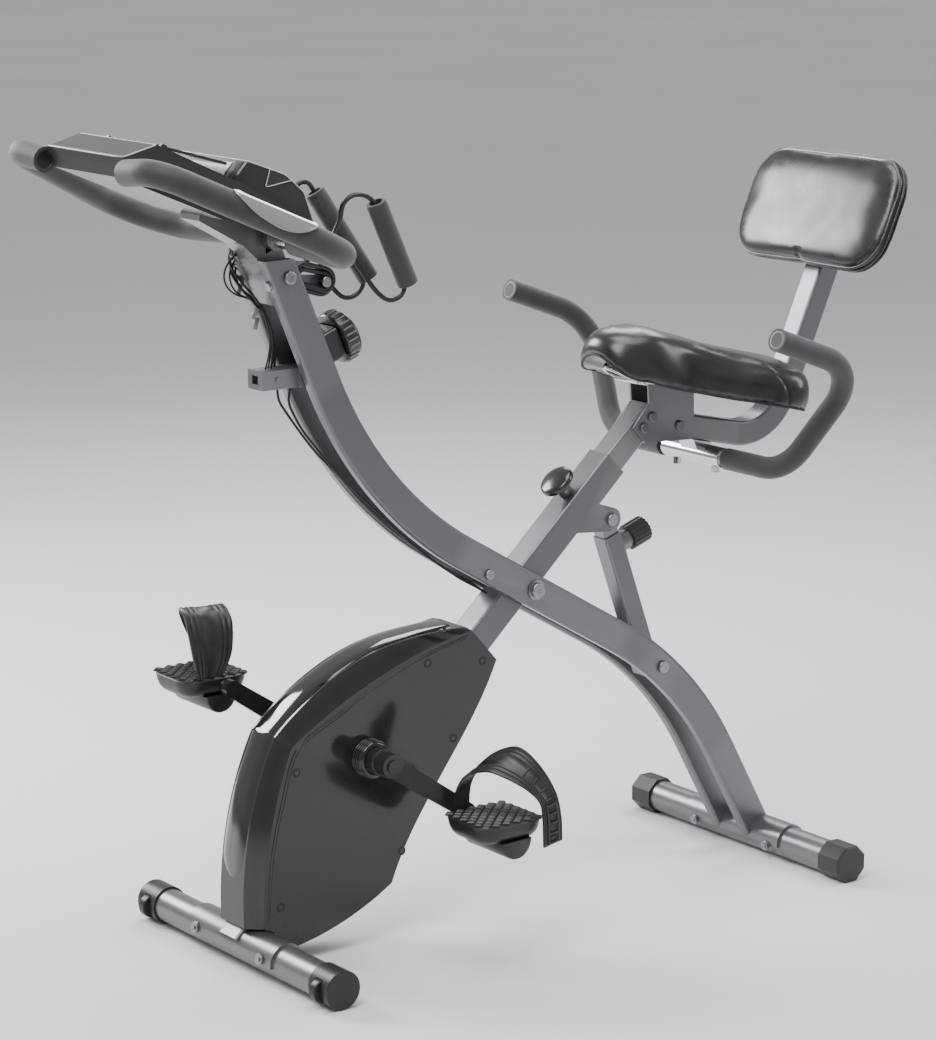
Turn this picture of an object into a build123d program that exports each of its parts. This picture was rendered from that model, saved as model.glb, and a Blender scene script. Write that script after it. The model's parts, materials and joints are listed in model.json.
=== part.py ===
from build123d import *
import math
import os

# Folding exercise bike: an X-shaped frame with a crank drive, seat, backrest and console.
# Units are millimetres. X points forward, Y to the rider's left, Z up. While the parts are
# built, X is measured from the front foot's axis; the finished parts are moved by CENTRE_X,
# which puts the origin at the middle of the whole bike's footprint.
CENTRE_X = 452.0

# ---- fits ----
RUNNING = 0.05          # radial clearance of a shaft in its bore
GAP = 0.3               # clearance between pieces that only come close
SLIDE = 0.3             # clearance of one square tube in another

# ---- feet ----
FOOT_LENGTH = 500.0
FOOT_RADIUS = 25.0
FOOT_WALL = 2.0
CAP_RADIUS = 28.0
CAP_LENGTH = 46.0
CAP_PLUG = 20.0
CAP_END = 4.0
SOCKET = 9.0
FRONT_TUBE = FOOT_LENGTH / 2 - CAP_LENGTH + SOCKET
REAR_TUBE = FOOT_LENGTH / 2 - CAP_END
FOOT_Z = CAP_RADIUS
REAR_FOOT_X = -940.0
SADDLE_WALL = 3.5
SADDLE_HALF = 110.0
BOLT_SPACING = 85.0
FRONT_BOLT_TILT = 10.0
REAR_BOLT_TILT = 170.0
ROLLER_RADIUS = 17.0
ROLLER_WIDTH = 14.0
ROLLER_PIN = 4.0

# ---- main tube, which carries the crank drive and the seat post ----
MAIN_ANGLE = 43.0
MAIN_START = (14.0, FOOT_Z)
MAIN_SIZE = 46.0
MAIN_WALL = 2.0
MAIN_LENGTH = 910.0
MAIN_CORNER = 4.0
MOUTH_X = MAIN_START[0] - MAIN_LENGTH * math.cos(math.radians(MAIN_ANGLE))
MOUTH_Z = MAIN_START[1] + MAIN_LENGTH * math.sin(math.radians(MAIN_ANGLE))

# ---- curved frame: two beams, one each side of the main tube ----
BEAM_CORNERS = [(-28.0, 1043.0), (-196.0, 650.0), (-779.0, 311.0), (REAR_FOOT_X + 3, FOOT_Z)]
BEAM_RADII = [580.0, 560.0]
BEAM_DEPTH = 49.0
BEAM_WIDTH = 20.0
BEAM_WALL = 2.0
BEAM_CORNER = 5.0
BEAM_GAP = 50.0
BEAM_TOP_Z = 1006.0

# ---- fold pivot and folding strut ----
PIVOT = (-486.0, 484.0)
PIVOT_BOLT = 6.0
PIVOT_BUSH = 11.0
STRUT_LOW = (-730.0, 330.0)
STRUT_HIGH = (MOUTH_X + 6.5, MOUTH_Z - 82.6)
STRUT_BOLT = 5.0
STRUT_SIZE = 32.0
STRUT_WALL = 2.2
STRUT_TUBE = 222.0
STRUT_TAIL = 15.0
STRUT_BOSS = 9.0
STRUT_COLLAR = 15.5
STRUT_COLLAR_LENGTH = 17.0
STRUT_TRAVEL = 135.0
INNER_START = 38.0
INNER_HEAD = 18.0
LUG_HOLE = 12.7
YOKE_PLATE = 4.0
YOKE_RADIUS = 18.0

# ---- pull knobs ----
KNOB_PIN = 4.0
STRUT_KNOB_AT = 198.0
STRUT_KNOB_RADIUS = 20.0
STRUT_KNOB_LENGTH = 34.0
SEAT_KNOB_AT = MAIN_LENGTH - 80.0
SEAT_KNOB_RADIUS = 26.0
SEAT_KNOB_LENGTH = 16.0
SEAT_KNOB_NECK = 8.0
PIN_BOSS = 11.0
PIN_BOSS_LENGTH = 13.0

# ---- crank drive ----
CRANK = (-180.0, 283.0)
CRANK_LENGTH = 142.0
CRANK_ANGLE = 35.0
AXLE_RADIUS = 8.0
SHELL_RADIUS = 20.0
SHELL_HALF = 30.0
BEARING_RADIUS = 16.0
BEARING_WIDTH = 10.0
ARM_Y = 104.0
ARM_THICK = 14.0
ARM_FLARE = 24.0
PULLEY_RADIUS = 84.0
PULLEY_WIDTH = 10.0
PULLEY_Y = -39.0
BELT_THICK = 2.5
FLYWHEEL = (-122.0, 146.0)
FLYWHEEL_RADIUS = 94.0
FLYWHEEL_WIDTH = 15.0
FLYWHEEL_Y = 36.0
SMALL_PULLEY = 14.0
FLY_AXLE = 6.0
MAGNET_PIVOT = (-208.0, 218.0)
MAGNET_PIN = 4.0
MAGNET_SWING = 6.0
MAGNET_GAP = 1.9

# ---- pedals ----
PEDAL_LENGTH = 114.0
PEDAL_WIDTH = 106.0
PEDAL_TOP = 13.0
PEDAL_BOTTOM = 17.0
PEDAL_CORNER = 30.0
PEDAL_START = 149.0
PEDAL_FORWARD = 5.0
WEIGHT_HALF = 26.0
WEIGHT_DEPTH = 27.0
SPINDLE_RADIUS = 5.0
STUD_PITCH = (16.0, 13.5)
STUD_SIZE = 7.0
STRAP_THICK = 3.0

# ---- casing ----
CASE_HALF = 49.0
CASE_WALL = 2.5
CASE_CLEAR = 1.5
SCREW_RADIUS = 3.6
SPINE_HALF = 30.0
TRIM_HALF = 22.0
TRIM_RISE = 4.0
HUB_RADIUS = 27.0
HUB_DEPTH = 24.0

# ---- seat post, seat and back support ----
POST_SIZE = 38.0
POST_WALL = 2.0
POST_START = MAIN_LENGTH - 162.0
POST_END = MAIN_LENGTH + 106.0
COLLAR_DEPTH = 60.0
COLLAR_LIP = 3.0
SUPPORT_ANGLE = 12.5
SUPPORT_START = (MOUTH_X - 84.5, MOUTH_Z + 55.4)
SUPPORT_RADIUS = 90.0
POST_LEAN = 24.0
SUPPORT_TOP = 410.0
SEAT_TILT = 13.0
SEAT_NOSE = (MOUTH_X + 35.5, MOUTH_Z + 135.4)
SEAT_LENGTH = 336.0
SUPPORT_RUN = SEAT_LENGTH - 100.4
SEAT_THICK = 78.0
SEAT_WALL = 12.0
SEAT_BOLT = 4.0
SEAT_SKIRT = 14.0
PAN_THICK = 4.0
BRACKET_START = MAIN_LENGTH + 60.0
BRACKET_PLATE = 3.5
BACK_WIDTH = 336.0
BACK_HEIGHT = 188.0
BACK_THICK = 37.5
BACK_BOARD = 4.0
BACK_CORNER = 46.0
BACK_START = 268.0

# ---- side handles ----
BAR_RADIUS = 12.5
SIDE_POINTS = [(MOUTH_X - 177.5, 202.0, MOUTH_Z - 3.6), (MOUTH_X - 221.5, 311.0, MOUTH_Z + 159.4),
               (MOUTH_X - 59.5, 315.0, MOUTH_Z + 219.4)]
SIDE_RADII = [88.0, 77.0]
SIDE_GRIP_RADIUS = 16.8
SIDE_GRIP_START = 74.0
CLAMP_HALF = 66.0
CLAMP_RADIUS = 15.5
CLAMP_BOLT_Y = 45.0

# ---- handlebar ----
HANDLE_POINTS = [(-44.0, 60.0, 1035.5), (-44.0, 293.0, 1022.0), (234.0, 187.0, 1156.0),
                 (231.0, 108.0, 1148.0)]
HANDLE_RADII = [600.0, 87.0, 48.0]
HANDLE_GRIP_RADIUS = 17.8
HANDLE_GRIP_START = 84.0
HEAD_RADIUS = 17.0
HEAD_HALF = 40.0
SENSOR_AT = 167.0
SENSOR_LENGTH = 92.0

# ---- console, drawn in its own tilted frame with its origin on the handlebar's axis ----
CONSOLE_TILT = 24.5
CONSOLE_HALF = 98.0
BASE_HALF = 84.0
CONSOLE_WALL = 2.5
POD_HALF = 86.0
BUTTON_RADIUS = 6.0
BUTTON_RISE = 2.0
FLAP_REST = 9.0
FLAP_LENGTH = 106.0
FLAP_HALF = 66.0
FLAP_BARREL = 3.0
FLAP_PIN = 1.5
EAR_WIDTH = 5.0

# ---- tension knob ----
DIAL = (-172.0, 886.0)
DIAL_RADIUS = 39.0
DIAL_THICK = 26.0
DIAL_STEM = 5.0
HOUSING_SIZE = 46.0
HOUSING_DEPTH = 66.0

# ---- resistance bands ----
BAND_RADIUS = 3.5
COIL_REAR = (-138.0, 966.0)
COIL_FRONT = (-104.0, 975.0)
COIL_RADIUS = 21.0
COIL_HALF = 16.0
GRIP_RADIUS = 15.0
GRIP_BORE = 4.2
GRIP_HOLLOW = 10.0
GRIP_MOUTH = 24.0
COIL_BOLT = 4.0
LEAD_RADIUS = 1.8


# ---------------------------------------------------------------- helpers
def unit(angle):
    """Direction in the XZ plane at an angle above +X, in degrees."""
    return (math.cos(math.radians(angle)), math.sin(math.radians(angle)))


def along(start, angle, distance, rise=0.0):
    """Point at a distance along a direction, and a rise across it, in the XZ plane."""
    c, s = unit(angle)
    return (start[0] + distance * c - rise * s, start[1] + distance * s + rise * c)


def slab(face, y0, y1):
    """A face drawn on the XZ plane, made solid between two Y values."""
    return Pos(0, (y0 + y1) / 2, 0) * extrude(Plane.XZ * face, (y1 - y0) / 2, both=True)


def rod(x, z, radius, y0, y1):
    """Round bar along Y."""
    return Pos(x, (y0 + y1) / 2, z) * Rot(90, 0, 0) * Cylinder(radius, y1 - y0)


def pipe(x, z, outer, inner, y0, y1):
    return rod(x, z, outer, y0, y1) - rod(x, z, inner, y0 - 1, y1 + 1)


def stud(point, direction, radius, start, end):
    """Round bar in the XZ plane's direction, from start to end along it."""
    c, s = direction
    base = Plane(origin=(point[0] + c * start, 0, point[1] + s * start), z_dir=(c, 0, s))
    return base * Cylinder(radius, end - start, align=(Align.CENTER, Align.CENTER, Align.MIN))


def square_bar(point, angle, start, end, depth, width, corner):
    """Straight bar of rounded rectangular section along a direction in the XZ plane."""
    c, s = unit(angle)
    base = Plane(origin=(point[0] + c * start, 0, point[1] + s * start), x_dir=(0, 1, 0),
                 z_dir=(c, 0, s))
    return extrude(base * RectangleRounded(width, depth, corner), end - start)


def square_tube(point, angle, start, end, size, wall, corner):
    outer = square_bar(point, angle, start, end, size, size, corner)
    inner = square_bar(point, angle, start - 1, end + 1, size - 2 * wall, size - 2 * wall,
                       max(corner - wall, 0.5))
    return outer - inner


def swept(path, section):
    """A section swept along a path, square to its start."""
    start = Plane(origin=path @ 0, z_dir=path % 0, x_dir=(0, 1, 0)
                  if abs((path % 0).Y) < 0.9 else (0, 0, 1))
    return sweep(start * section, path=path)


def mirrored(part):
    return mirror(part, about=Plane.XZ)


def bent_bar(points, radii):
    """Path of a bar that bends alike on each side of the middle plane."""
    left = list(reversed(points))
    right = [(x, -y, z) for x, y, z in points]
    return FilletPolyline(*(left + right), radius=list(reversed(radii)) + radii)


def bolt(point, radius, half, head=1.9, thick=1.2):
    """Bolt along Y, with a domed head on the left and a nut on the right."""
    x, z = point
    dome = rod(x, z, radius * head, half, half + radius * thick)
    dome = fillet(dome.edges().filter_by(GeomType.CIRCLE).sort_by(Axis.Y)[-1], radius * 0.5)
    shank = rod(x, z, radius, -half - radius * 1.6, half + 1)
    return dome + shank + hex_head(x, z, radius * 1.8, -half - radius * 1.2, -half)


def disc(point, radius):
    return Pos(*point) * Circle(radius)


def link(point_a, radius_a, point_b, radius_b):
    """Outline of a link with a round end about each of two points."""
    return make_hull([*disc(point_a, radius_a).edges(), *disc(point_b, radius_b).edges()])


def bolt_hole(point, radius, half=80.0):
    return rod(*point, radius + RUNNING, -half, half)


def hex_head(x, z, radius, y0, y1):
    return slab(Pos(x, z) * RegularPolygon(radius, 6), min(y0, y1), max(y0, y1))


parts = {}


# ---------------------------------------------------------------- feet
def foot_tube(x, half):
    return pipe(x, FOOT_Z, FOOT_RADIUS, FOOT_RADIUS - FOOT_WALL, -half, half)


def front_cap(side):
    """Round end cap, plugged into its tube, with a slot in front for a transport roller."""
    end = side * FOOT_LENGTH / 2
    start = end - side * CAP_LENGTH
    cap = rod(0, FOOT_Z, CAP_RADIUS, *sorted((start, end)))
    cap = fillet(cap.edges().filter_by(GeomType.CIRCLE).sort_by(Axis.Y)[-1 if side > 0 else 0], 2.0)
    plug = FOOT_RADIUS - FOOT_WALL - RUNNING
    cap += rod(0, FOOT_Z, plug, *sorted((start - side * CAP_PLUG, end - side * 5)))
    cap -= pipe(0, FOOT_Z, FOOT_RADIUS + RUNNING, plug, *sorted((start - side, side * FRONT_TUBE)))
    return cap - roller_space(side) + roller_pin(side)


ROLLER_X = CAP_RADIUS - 8
ROLLER_Z = FOOT_Z - 2


def roller_y(side):
    return side * (FOOT_LENGTH / 2 - CAP_LENGTH / 2 - 2)


def roller_space(side):
    y = roller_y(side)
    half = ROLLER_WIDTH / 2 + 1
    return rod(ROLLER_X, ROLLER_Z, ROLLER_RADIUS + 1, y - half, y + half)


def roller_pin(side):
    y = roller_y(side)
    half = ROLLER_WIDTH / 2 + 2.5
    return rod(ROLLER_X, ROLLER_Z, ROLLER_PIN, y - half, y + half)


def rear_cap(side):
    """Eight-sided cap that turns on the tube's end to level the bike."""
    end = side * FOOT_LENGTH / 2
    start = end - side * CAP_LENGTH
    octagon = RegularPolygon(CAP_RADIUS, 8, major_radius=False, rotation=22.5)
    octagon = Pos(REAR_FOOT_X, FOOT_Z) * octagon
    cap = slab(octagon, *sorted((start, end)))
    cap = chamfer(cap.faces().sort_by(Axis.Y)[-1 if side > 0 else 0].edges(), 2.5)
    bore = sorted((start - side, side * (REAR_TUBE + GAP)))
    return cap - rod(REAR_FOOT_X, FOOT_Z, FOOT_RADIUS + RUNNING, *bore)


def saddle(x):
    """Half-round bracket that hugs the top of a foot tube."""
    outer = FOOT_RADIUS + SADDLE_WALL + GAP
    shell = pipe(x, FOOT_Z, outer, FOOT_RADIUS + RUNNING, -SADDLE_HALF, SADDLE_HALF)
    keep = Pos(x, 0, FOOT_Z + 50 - 4) * Box(200, 4 * SADDLE_HALF, 100)
    return shell & keep


SADDLE_OUTER = FOOT_RADIUS + SADDLE_WALL + GAP


def saddle_bolts(x, tilt, spacing, clearance=0.0):
    """Domed carriage bolts through a foot tube and its saddle, or the holes for them."""
    c, s = unit(tilt)
    bolts = []
    for y in (-spacing, spacing):
        base = Plane(origin=(x, y, FOOT_Z), z_dir=(c, 0, s))
        shank = base * Cylinder(4 + clearance, 2 * SADDLE_OUTER + 12)
        head = base * Pos(0, 0, SADDLE_OUTER + 2.3) * Cylinder(8.5, 3.5)
        nut = base * Pos(0, 0, -SADDLE_OUTER - 2.5) * Cylinder(7.5, 5)
        bolts.append(shank if clearance else shank + head + nut)
    return bolts


# ---------------------------------------------------------------- main frame
MAIN_DIR = 180.0 - MAIN_ANGLE
MAIN_SIDE = unit(MAIN_DIR - 90)


def main_point(distance, rise=0.0):
    """Point along the main tube; a positive rise is towards its upper front face."""
    return along(MAIN_START, MAIN_DIR, distance, -rise)


def pivot_bush():
    half = BEAM_GAP / 2 - GAP
    return rod(*PIVOT, PIVOT_BUSH, -half, half)


def yoke_plates():
    """Two plates under the main tube that hold the strut's upper pin."""
    root_low, root_high = MAIN_LENGTH - 120, MAIN_LENGTH - 62
    inner = MAIN_SIZE / 2 - YOKE_PLATE
    corners = [main_point(root_low, 5 - MAIN_SIZE / 2), main_point(root_high, 5 - MAIN_SIZE / 2)]
    web = make_hull([*disc(STRUT_HIGH, YOKE_RADIUS).edges(), Line(*corners)])
    body = slab(web, -MAIN_SIZE / 2, MAIN_SIZE / 2)
    return body - slab(Pos(*STRUT_HIGH) * Rectangle(400, 400), -inner, inner)


def shell_web():
    """Plate that joins the crank's bearing shell to the main tube."""
    foot = (MAIN_START[0] - CRANK[0]) * math.cos(math.radians(MAIN_ANGLE))
    foot += (CRANK[1] - MAIN_START[1]) * math.sin(math.radians(MAIN_ANGLE))
    corners = [main_point(foot - 38, MAIN_SIZE / 2 - 3), main_point(foot + 38, MAIN_SIZE / 2 - 3)]
    return slab(make_hull([*disc(CRANK, SHELL_RADIUS).edges(), Line(*corners)]), -12, 12)


def build_main_frame():
    start, end = 0.0, MAIN_LENGTH
    outer = square_bar(MAIN_START, MAIN_DIR, start, end, MAIN_SIZE, MAIN_SIZE, MAIN_CORNER)
    hollow = square_bar(MAIN_START, MAIN_DIR, start, end + 1, MAIN_SIZE - 2 * MAIN_WALL,
                        MAIN_SIZE - 2 * MAIN_WALL, MAIN_CORNER - MAIN_WALL)
    tube = outer - hollow - rod(0, FOOT_Z, SADDLE_OUTER - 0.5, -60, 60)
    tube -= Pos(0, 0, FOOT_Z - 60) * Box(300, 300, 112)
    frame = tube + saddle(0) + yoke_plates()
    frame += pivot_bush() + rod(*FLYWHEEL, FLY_AXLE + 5, -MAIN_SIZE / 2 - 1, MAIN_SIZE / 2 + 1)
    frame += shell_web() + rod(*CRANK, SHELL_RADIUS, -SHELL_HALF, SHELL_HALF) + magnet_pin()
    side = MAIN_SIDE
    boss_start = MAIN_SIZE / 2 - 1
    frame += stud(main_point(SEAT_KNOB_AT), side, PIN_BOSS, boss_start, boss_start + PIN_BOSS_LENGTH)
    frame -= rod(*PIVOT, PIVOT_BOLT + RUNNING, -60, 60)
    frame -= rod(*STRUT_HIGH, STRUT_BOLT + RUNNING, -60, 60)
    frame -= rod(*FLYWHEEL, FLY_AXLE + RUNNING, -60, 60)
    frame -= rod(*CRANK, AXLE_RADIUS + 4, -60, 60)
    for s in (-1, 1):
        y0, y1 = sorted((s * (SHELL_HALF - BEARING_WIDTH), s * (SHELL_HALF + 1)))
        frame -= rod(*CRANK, BEARING_RADIUS, y0, y1)
    frame -= stud(main_point(SEAT_KNOB_AT), side, KNOB_PIN + RUNNING, 10, 60)
    for fastener in saddle_bolts(0, FRONT_BOLT_TILT, BOLT_SPACING, RUNNING):
        frame -= fastener
    return frame


def magnet_pin():
    """Stub on the main tube's side that the brake's bracket swings on."""
    return rod(*MAGNET_PIVOT, MAGNET_PIN, MAIN_SIZE / 2 - 1, FLYWHEEL_Y + FLYWHEEL_WIDTH / 2 + 1)


def collar():
    """Plastic liner in the main tube's mouth that the seat post slides in."""
    size = MAIN_SIZE - 2 * MAIN_WALL
    start = MAIN_LENGTH - COLLAR_DEPTH
    liner = square_bar(MAIN_START, MAIN_DIR, start, MAIN_LENGTH, size, size, 2)
    liner += square_bar(MAIN_START, MAIN_DIR, MAIN_LENGTH, MAIN_LENGTH + COLLAR_LIP, MAIN_SIZE,
                        MAIN_SIZE, MAIN_CORNER)
    bore = POST_SIZE + 2 * SLIDE
    liner -= square_bar(MAIN_START, MAIN_DIR, start - 1, MAIN_LENGTH + 10, bore, bore, 3)
    return liner


# ---------------------------------------------------------------- folding strut
STRUT_REACH = math.dist(STRUT_LOW, STRUT_HIGH)
STRUT_DIR = math.degrees(math.atan2(STRUT_HIGH[1] - STRUT_LOW[1], STRUT_HIGH[0] - STRUT_LOW[0]))
STRUT_REAR = unit(STRUT_DIR + 90)
STRUT_KNOB_POINT = along(STRUT_LOW, STRUT_DIR, STRUT_KNOB_AT)


def build_strut_outer():
    tube = square_tube(STRUT_LOW, STRUT_DIR, -STRUT_TAIL, STRUT_TUBE, STRUT_SIZE, STRUT_WALL, 3)
    half = BEAM_GAP / 2 - GAP
    tube += rod(*STRUT_LOW, STRUT_BOSS, -half, half)
    tube += stud(STRUT_KNOB_POINT, STRUT_REAR, STRUT_COLLAR, STRUT_SIZE / 2 - 1,
                 STRUT_SIZE / 2 + STRUT_COLLAR_LENGTH)
    tube -= stud(STRUT_KNOB_POINT, STRUT_REAR, KNOB_PIN + RUNNING, STRUT_SIZE / 2 - 2 * STRUT_WALL, 60)
    return tube - bolt_hole(STRUT_LOW, STRUT_BOLT)


def build_strut_inner():
    """Inner tube, with an eye whose slot lets the bolt through at every fold angle."""
    size = STRUT_SIZE - 2 * STRUT_WALL - 2 * SLIDE
    tube = square_tube(STRUT_LOW, STRUT_DIR, INNER_START, STRUT_REACH - 6, size, 2, 2)
    tube += rod(*STRUT_HIGH, INNER_HEAD, -size / 2, size / 2)
    tube -= rod(*STRUT_HIGH, LUG_HOLE, -size, size)
    for travel in (0.0, STRUT_TRAVEL):
        hole = along(STRUT_LOW, STRUT_DIR, STRUT_KNOB_AT - travel)
        tube -= stud(hole, STRUT_REAR, KNOB_PIN + 0.5, size / 2 - 4, size)
    return tube


# ---------------------------------------------------------------- pull knobs
def lobed(radius, lobes, depth):
    """Round knob outline with grip hollows round its edge."""
    outline = Circle(radius)
    for place in PolarLocations(radius + 0.5 * depth, lobes):
        outline -= place * Circle(1.5 * depth)
    return outline


def knob_head(point, direction, radius, start, length, lobes, depth):
    c, s = direction
    base = Plane(origin=(point[0] + c * start, 0, point[1] + s * start), z_dir=(c, 0, s))
    return extrude(base * lobed(radius, lobes, depth), length)


def build_strut_knob():
    """Pin and ribbed handle; the pin's tip rests just short of the inner tube's hole."""
    start = STRUT_SIZE / 2 + STRUT_COLLAR_LENGTH + GAP
    pin = stud(STRUT_KNOB_POINT, STRUT_REAR, KNOB_PIN, STRUT_SIZE / 2 - STRUT_WALL, start + 2)
    head = knob_head(STRUT_KNOB_POINT, STRUT_REAR, STRUT_KNOB_RADIUS, start, STRUT_KNOB_LENGTH, 18, 1.4)
    return pin + head


def build_seat_knob():
    """Pin and flat grip; the pin's tip rests just short of the seat post's hole."""
    point = main_point(SEAT_KNOB_AT)
    start = MAIN_SIZE / 2 + PIN_BOSS_LENGTH + GAP
    head = start + SEAT_KNOB_NECK
    pin = stud(point, MAIN_SIDE, KNOB_PIN, POST_SIZE / 2 + SLIDE, head + 2)
    neck = stud(point, MAIN_SIDE, PIN_BOSS - 2, start, head + 2)
    return pin + neck + knob_head(point, MAIN_SIDE, SEAT_KNOB_RADIUS, head, SEAT_KNOB_LENGTH, 14, 1.8)


# ---------------------------------------------------------------- casing
CASE_FRONT = [(-1, 60), (-8, 160), (-25, 240), (-51, 317)]
CASE_TOP = [(-51, 317), (-120, 359), (-205, 398), (-285, 425), (-366, 441)]
SPINE_FRONT = [(20, 60), (16, 160), (-3, 250), (-36, 331)]
SPINE_TOP = [(-36, 331), (-106, 384), (-198, 426), (-288, 441), (-370, 444)]
CASE_END = [(-366, 441), (-411, 391)]
CASE_REAR = [(-411, 391), (-341, 274), (-253, 149), (-222, 86)]
CASE_BOTTOM = [(-222, 86), (-130, 42), (-58, 24)]
CASE_SCREWS = [(-59, 280), (-287, 404), (-385, 393), (-332, 285), (-240, 131), (-30, 87)]


def shifted(points, amount):
    """Points of a line, each moved to the line's left by an amount."""
    moved = []
    for i, point in enumerate(points):
        before, after = points[max(i - 1, 0)], points[min(i + 1, len(points) - 1)]
        heading = math.degrees(math.atan2(after[1] - before[1], after[0] - before[0]))
        moved.append(along(point, heading, 0, amount))
    return moved


def case_outline(front, top, y, inset=0.0):
    """Closed side outline of the casing at one Y, moved inwards by an inset."""
    lines = [shifted(line, inset) for line in (front, top, CASE_END, CASE_REAR, CASE_BOTTOM)]
    for line, following in zip(lines, lines[1:]):
        middle = ((line[-1][0] + following[0][0]) / 2, (line[-1][1] + following[0][1]) / 2)
        line[-1] = following[0] = middle
    lines.append([lines[-1][-1], lines[0][0]])
    edges = []
    for line in lines:
        points = [Vector(x, y, z) for x, z in line]
        edges.append(Edge.make_spline(points) if len(points) > 2 else Edge.make_line(*points))
    return Wire(edges)


def case_form(side, inset=0.0):
    """One half of the casing's form, from the middle plane out to its flat side."""
    start = -side if inset else 0.0
    spine = [case_outline(SPINE_FRONT, SPINE_TOP, y, inset) for y in (start, side * SPINE_HALF)]
    flat = case_outline(CASE_FRONT, CASE_TOP, side * (CASE_HALF - inset), inset)
    return Solid.make_loft(spine, ruled=True) + Solid.make_loft([spine[1], flat], ruled=True)


def build_cover(side):
    """Half of the casing, hollow, with its screws."""
    shell = case_form(side) - case_form(side, CASE_WALL)
    clear = MAIN_SIZE + 2 * GAP
    shell -= square_bar(MAIN_START, MAIN_DIR, -30, MAIN_LENGTH, clear, clear, MAIN_CORNER)
    shell -= rod(0, FOOT_Z, SADDLE_OUTER + CASE_CLEAR, -FOOT_LENGTH / 2, FOOT_LENGTH / 2)
    shell -= rod(*CRANK, HUB_RADIUS - 5, *sorted((side * 40, side * 60)))
    solids = [shell]
    for x, z in CASE_SCREWS:
        seat = sorted((side * (CASE_HALF - 1.2), side * (CASE_HALF + 0.4)))
        solids[0] -= rod(x, z, SCREW_RADIUS + RUNNING, *seat)
        solids.append(rod(x, z, SCREW_RADIUS, *seat))
    return solids


def build_trim():
    """Glossy strip that wraps the casing's front and top along its middle."""
    front, top = [(18, 130)] + SPINE_FRONT[1:], SPINE_TOP[:-1] + [(-325, 443)]
    curves = []
    for rise in (-TRIM_RISE, TRIM_RISE):
        lines = [shifted(line, -rise) for line in (front, top)]
        corner = along(SPINE_TOP[0], 50, rise)
        lines[0][-1] = lines[1][0] = corner
        curves.append([Edge.make_spline([Vector(x, 0, z) for x, z in line]) for line in lines])
    inner, outer = curves
    ends = [Edge.make_line(inner[0] @ 0, outer[0] @ 0), Edge.make_line(inner[1] @ 1, outer[1] @ 1)]
    side_face = Face(Wire(inner + [ends[1]] + outer[::-1] + [ends[0]]))
    strip = extrude(side_face, TRIM_HALF, (0, 1, 0), both=True)
    return strip - case_form(1) - case_form(-1)


def build_hub_cover(side):
    """Plastic cup round the crank's axle on one side of the casing."""
    y0, y1 = sorted((side * CASE_HALF, side * (CASE_HALF + HUB_DEPTH)))
    cup = rod(*CRANK, HUB_RADIUS, y0, y1)
    cup = fillet(cup.edges().filter_by(GeomType.CIRCLE).sort_by(Axis.Y)[-1 if side > 0 else 0], 6.0)
    return cup - rod(*CRANK, AXLE_RADIUS + 1.2, y0 - 1, y1 + 1)


# ---------------------------------------------------------------- crank drive
ARM_OUT = ARM_Y + ARM_THICK / 2
AXLE_END = ARM_OUT + 3


def crank_end(side):
    """Where one pedal sits: the left crank points down and back, the right one up and forward."""
    return along(CRANK, CRANK_ANGLE + (180 if side > 0 else 0), CRANK_LENGTH)


def build_crank(side):
    """Crank arm that flares out to its pedal, with its end cap and its pedal's spindle."""
    x, z = crank_end(side)
    c, s = (x - CRANK[0]) / CRANK_LENGTH, (z - CRANK[1]) / CRANK_LENGTH
    inner, outer = ARM_Y - ARM_THICK / 2, ARM_OUT
    profile = [(-20, inner), (22, inner), (CRANK_LENGTH - 22, inner + ARM_FLARE),
               (CRANK_LENGTH + 20, inner + ARM_FLARE), (CRANK_LENGTH + 20, outer + ARM_FLARE),
               (CRANK_LENGTH - 24, outer + ARM_FLARE), (20, outer), (-20, outer)]
    plane = Plane(origin=(CRANK[0], 0, CRANK[1]), x_dir=(c, 0, s), z_dir=(-s, 0, c))
    bent = make_face(Polyline(*[(u, side * y) for u, y in profile], close=True))
    bent = extrude(plane * bent, 30, both=True)
    arm = bent & slab(link(CRANK, 15, (x, z), 12.5), -2 * PEDAL_START, 2 * PEDAL_START)
    arm += rod(*CRANK, 17.5, *sorted((side * (CASE_HALF + HUB_DEPTH + 2), side * AXLE_END)))
    arm -= rod(*CRANK, AXLE_RADIUS + RUNNING, -AXLE_END - 1, AXLE_END + 1)
    cap = rod(*CRANK, 9.5, *sorted((side * AXLE_END, side * (AXLE_END + 3))))
    start = ARM_OUT + ARM_FLARE
    spindle = rod(x, z, SPINDLE_RADIUS, *sorted((side * start, side * (PEDAL_START + PEDAL_WIDTH - 3))))
    return [arm, cap, spindle + rod(x, z, 8, *sorted((side * start, side * (PEDAL_START - GAP))))]


def build_bearings():
    """The crank's two ball bearings, drawn as plain rings."""
    rings = []
    for side in (-1, 1):
        y0, y1 = sorted((side * (SHELL_HALF - BEARING_WIDTH), side * SHELL_HALF))
        rings.append(pipe(*CRANK, BEARING_RADIUS - RUNNING, AXLE_RADIUS + RUNNING, y0, y1))
    return rings


def build_drive_pulley():
    y0, y1 = PULLEY_Y - PULLEY_WIDTH / 2, PULLEY_Y + PULLEY_WIDTH / 2
    wheel = rod(*CRANK, PULLEY_RADIUS, y0, y1)
    for face in ((y0 - 1, y0 + 3), (y1 - 3, y1 + 1)):
        wheel -= pipe(*CRANK, PULLEY_RADIUS - 8, 22, *face)
    for spoke in range(6):
        wheel -= rod(*along(CRANK, 60 * spoke + 30, PULLEY_RADIUS * 0.6), 13, y0 - 1, y1 + 1)
    return wheel - rod(*CRANK, AXLE_RADIUS + RUNNING, y0 - 1, y1 + 1)


def belt_loop(extra):
    return link(CRANK, PULLEY_RADIUS + extra, FLYWHEEL, SMALL_PULLEY + extra)


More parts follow.
